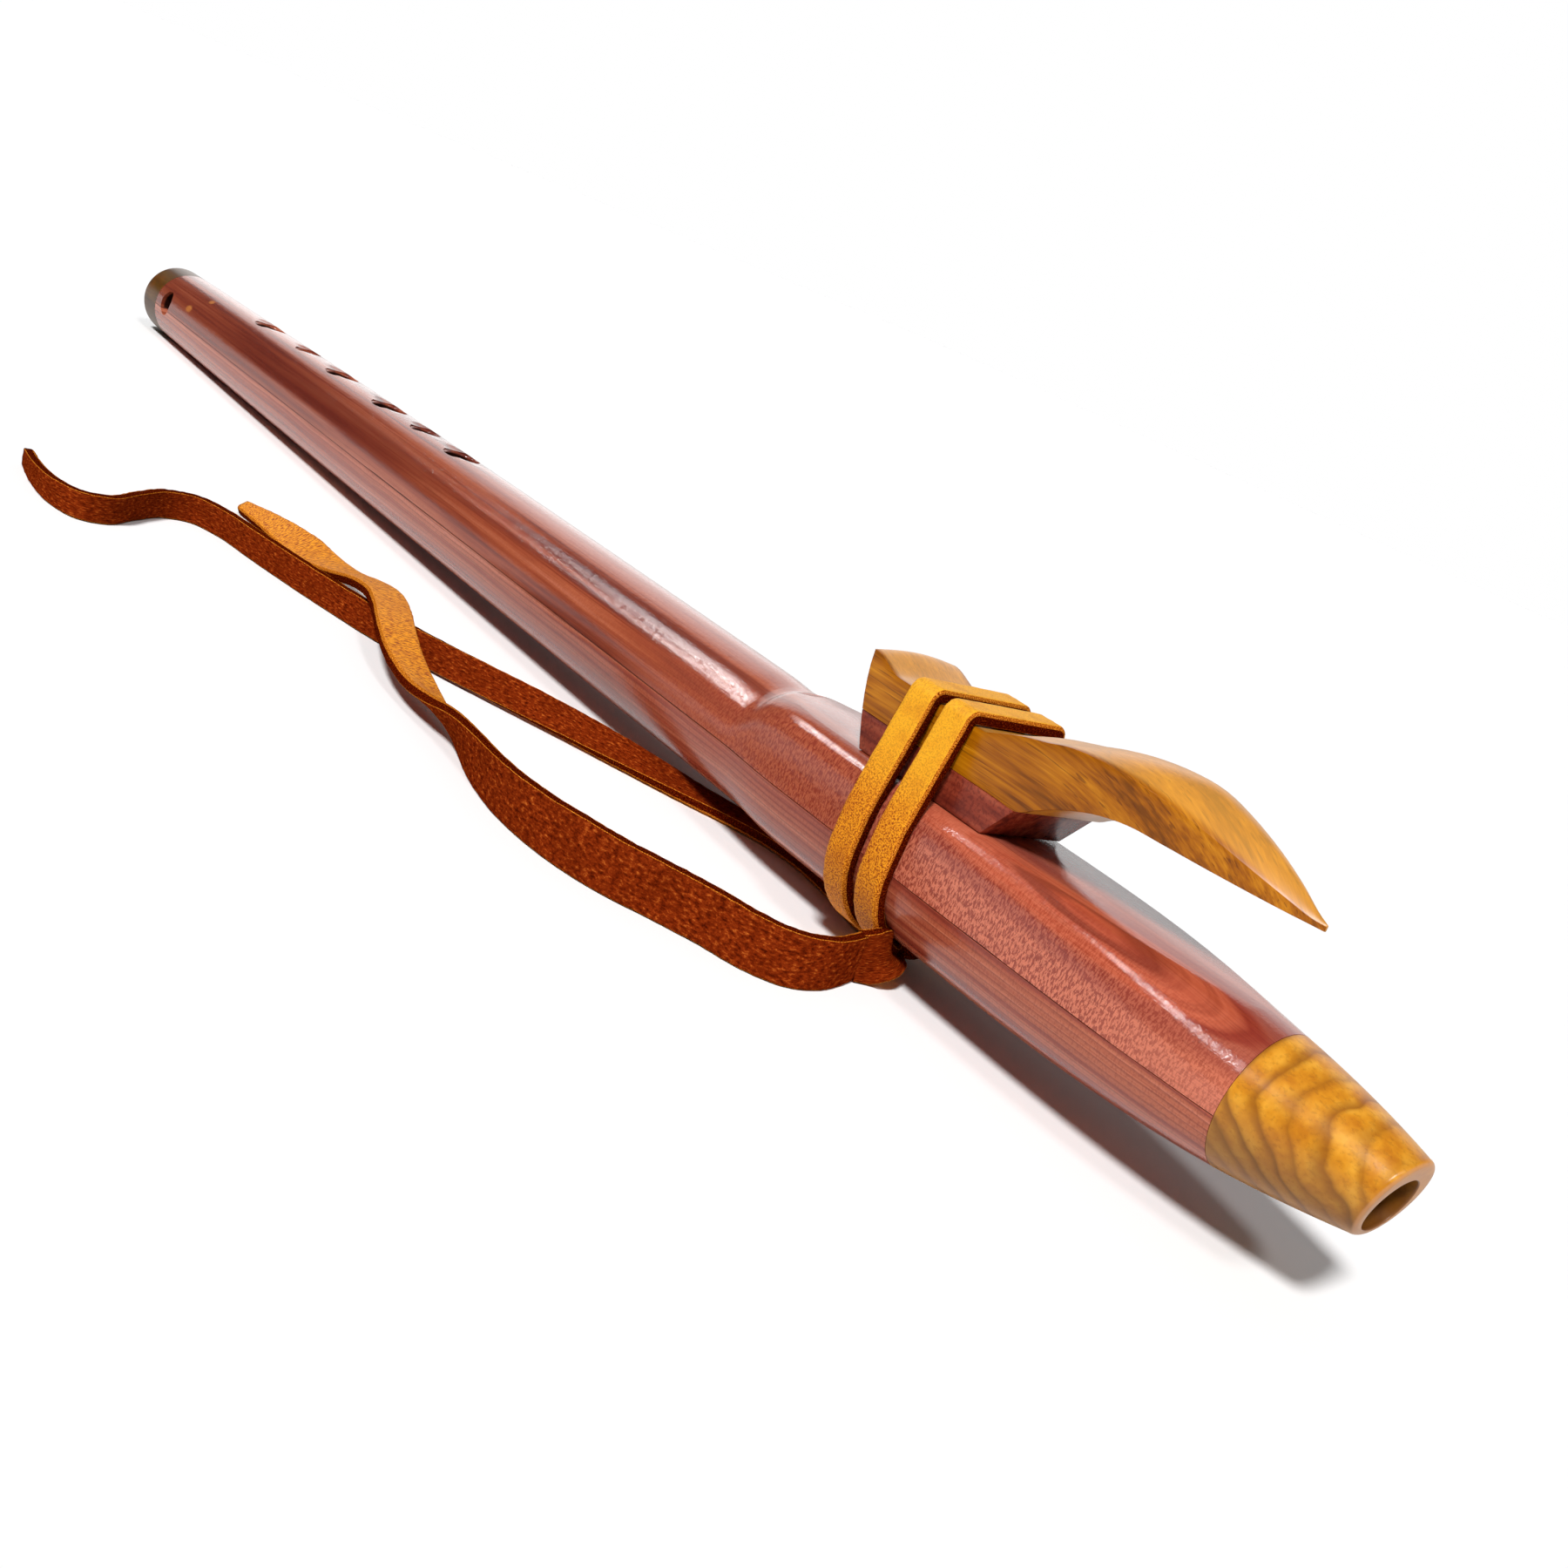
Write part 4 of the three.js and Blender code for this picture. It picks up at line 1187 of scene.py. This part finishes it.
def ringed_wood(name):
    """The mouthpiece's wood. Its growth rings bend down and on towards the mouth."""
    wood = Finish(name, **GOLD_LACQUER)
    axes = wood.axes()
    station, side, height = parts(axes)
    below = less(RING_TOP, height)
    reach = less(station, times(times(below, below), RING_BEND))
    reach = plus(reach, times(clouds(axes, 90, 2), 0.009))
    rings = over(reach, RING_SPACING)
    late = ramp(math_step("FRACT", rings), (
        (0, 0.2), (0.12, 0.0), (0.45, 0.1), (0.74, 0.8), (0.84, 1.0), (0.93, 0.5), (1, 0.2)))
    bold = between(clouds(combined(rings, 0.0), 1.0, 1.0), 0.35, 0.6)
    late = times(late, plus(times(bold, 0.6), 0.4))
    colour = ramp(clouds(axes, 210, 3, 0.6), (
        (0.34, 186, 114, 22), (0.5, 206, 136, 30), (0.66, 222, 158, 50)))
    colour = tinted(colour, paint(132, 72, 14), late, 0.8)
    low = between(height, 0.006, -0.005)
    colour = tinted(colour, paint(132, 92, 50), low, 0.75)
    colour = tinted(colour, paint(80, 48, 16), times(late, low), 0.4)
    grit = clouds(mapped(axes, scale=(0.7, 1, 1)), 1500, 2, 0.6)
    colour = tinted(colour, paint(118, 68, 22), between(grit, 0.5, 0.7), 0.25)
    slant = less(station, times(height, math.tan(MOUTH_SLANT)))
    face = between(slant, FLUTE_LENGTH - 0.6 * MM, FLUTE_LENGTH - 0.2 * MM)
    colour = tinted(colour, paint(190, 134, 88), face, 0.7)
    off_axis = distance(combined(0.0, side, height))
    inside = between(off_axis, MOUTH_BORE_RADIUS + 0.3 * MM, MOUTH_BORE_RADIUS)
    colour = tinted(colour, paint(84, 44, 8), inside, 0.8)
    return wood.lacquered(colour, grit)


# Leather
def lace_grain():
    """The smooth golden side, pebbled, and paler on top of the block: some wear, and painted light from
    above.
    """
    side = Finish("lace_grain", Roughness=0.6, Specular_IOR_Level=0.15)
    place = side.coordinates("UV")
    pebble = clouds(place, 2600, 2, 0.6, 0.4)
    colour = ramp(pebble, ((0.38, 142, 60, 4), (0.46, 196, 106, 8), (0.56, 232, 152, 22)))
    # Partly wear, partly painted light: the wraps' top over the block is made paler where light from above
    # falls.
    worn = between(parts(side.coordinates("Object"))[2], 0.03, 0.048)
    colour = tinted(colour, paint(242, 178, 36), worn, 0.6)
    stained = blend(0.3, colour, paint(178, 88, 8))
    colour = blend(between(clouds(place, 160, 2), 0.45, 0.7), colour, stained)
    return side.done(colour, bump(pebble, 0.6, 0.12 * MM))


def lace_flesh():
    """The rust suede side, with its hair along the strap."""
    side = Finish("lace_flesh", Roughness=0.95, Specular_IOR_Level=0.0)
    place = side.coordinates("UV")
    hair = clouds(mapped(place, scale=(1, 0.16, 1)), 4200, 3, 0.7, 0.15)
    cloudy = clouds(mapped(place, scale=(1, 0.4, 1)), 300, 3)
    colour = ramp(hair, (
        (0.32, 62, 12, 2), (0.46, 106, 32, 6), (0.58, 134, 48, 12), (0.74, 196, 104, 38)))
    dark = blend(0.35, colour, paint(84, 22, 2))
    colour = blend(between(cloudy, 0.4, 0.7), colour, dark)
    return side.done(colour, bump(hair, 0.9, 0.3 * MM))


def lace_nap(name, scale, tones, height=0):
    """A cut edge or a frayed rim."""
    side = Finish(name, Roughness=0.95, Specular_IOR_Level=0.0)
    nap = clouds(side.coordinates("UV"), scale, 2, 0.7)
    return side.done(ramp(nap, tones), bump(nap, 0.9, height) if height else None)


def leather_finishes():
    """In the order of a strap's sides."""
    edge_tones = ((0.4, 50, 6, 0), (0.56, 84, 16, 2), (0.7, 160, 66, 14))
    rim_tones = ((0.4, 110, 36, 4), (0.55, 204, 118, 30), (0.7, 240, 170, 66))
    return [lace_grain(), lace_flesh(), lace_nap("lace_edge", 3000, edge_tones, 0.25 * MM),
            lace_nap("lace_rim", 3600, rim_tones)]


# Stage and light
FLOOR_SIZE = 12
FLOOR_HEIGHT = -0.0002
FLOOR_WHITE = (0.97, 0.97, 0.97, 1)


def make_stage():
    choose()
    bpy.ops.mesh.primitive_plane_add(size=FLOOR_SIZE, location=(0, 0, FLOOR_HEIGHT))
    floor = bpy.context.object
    floor.name = "floor"
    finish = Finish("floor_white", Base_Color=FLOOR_WHITE, Roughness=0.8, Specular_IOR_Level=0.0)
    floor.data.materials.append(finish.material)


# Each lamp: its way from the flute, in degrees round and up, how wide it looks in degrees, its
# strength, and whether it is seen in gloss alone
LAMPS = (
    ("key", -62, 49, 9, 3.3, False), ("second", -20, 50, 9, 0.62, False),
    ("window_near", -149, 33, 6, 0.4, True), ("window", -155, 39.5, 6, 0.45, True),
    ("window_far", -164, 40.5, 8, 0.26, True), ("lantern", -108, 40, 6, 0.5, True),
    ("sky", 150, 23, 46, 0.48, True), ("sky_right", 116, 28, 36, 0.16, True),
)


def make_light():
    """White is seen past the object. Gloss meets a white backdrop behind it and a dim room on the
    near side and above."""
    world = bpy.data.worlds.new("room")
    bpy.context.scene.world = world
    world.use_nodes = True
    tree = world.node_tree
    rays = tree.nodes.new("ShaderNodeLightPath").outputs
    _, back, up = parts(step("TexCoord", {}, "Generated", tree))
    backdrop = times(ranged(back, 0.0, 0.35), ranged(up, 0.85, 0.6))
    bounced = larger(rays["Is Glossy Ray"], rays["Is Transmission Ray"])
    seen = larger(rays["Is Camera Ray"], times(bounced, ranged(backdrop, 0.0, 1.0, 0.03, 1.0)))
    strength = larger(seen, ranged(up, 0.4, 0.9, 0.03, 0.16))
    background = tree.nodes["Background"]
    background.inputs["Color"].default_value = (1, 1, 1, 1)
    tree.links.new(strength, background.inputs["Strength"])
    for name, azimuth, elevation, width, power, in_gloss_alone in LAMPS:
        data = bpy.data.lights.new(name, "SUN")
        data.angle = math.radians(width)
        data.energy = power
        lamp = bpy.data.objects.new(name, data)
        lamp.visible_diffuse = not in_gloss_alone
        bpy.context.scene.collection.objects.link(lamp)
        turn, rise = math.radians(azimuth), math.radians(elevation)
        way_to = Vector((math.cos(turn) * math.cos(rise), math.sin(turn) * math.cos(rise),
                         math.sin(rise)))
        lamp.rotation_euler = way_to.to_track_quat("Z", "Y").to_euler()


bpy.context.scene.view_settings.view_transform = "Standard"
make_camera()
leather = leather_finishes()
tail("lace_tail_outer_leather", OUTER_TAIL_POINTS, OUTER_TAIL_WIDTH, OUTER_TAIL_WIDTH_SHARES,
     leather, "lace_tail_outer")
tail("lace_tail_inner_leather", INNER_TAIL_POINTS, INNER_TAIL_WIDTH, INNER_TAIL_WIDTH_SHARES,
     leather, "lace_tail_inner")
knot(leather)
wraps(leather)
body_halves(cedar_upper(), cedar_lower(), glue())
foot_ring(golden_wood("golden_foot", FOOT_TONES))
mouthpiece(ringed_wood("golden_mouthpiece"))
block_base(cedar_block())
block_top(golden_wood("golden_block", GOLD_TONES, painted_light_on_crown=True))
make_stage()
make_light()
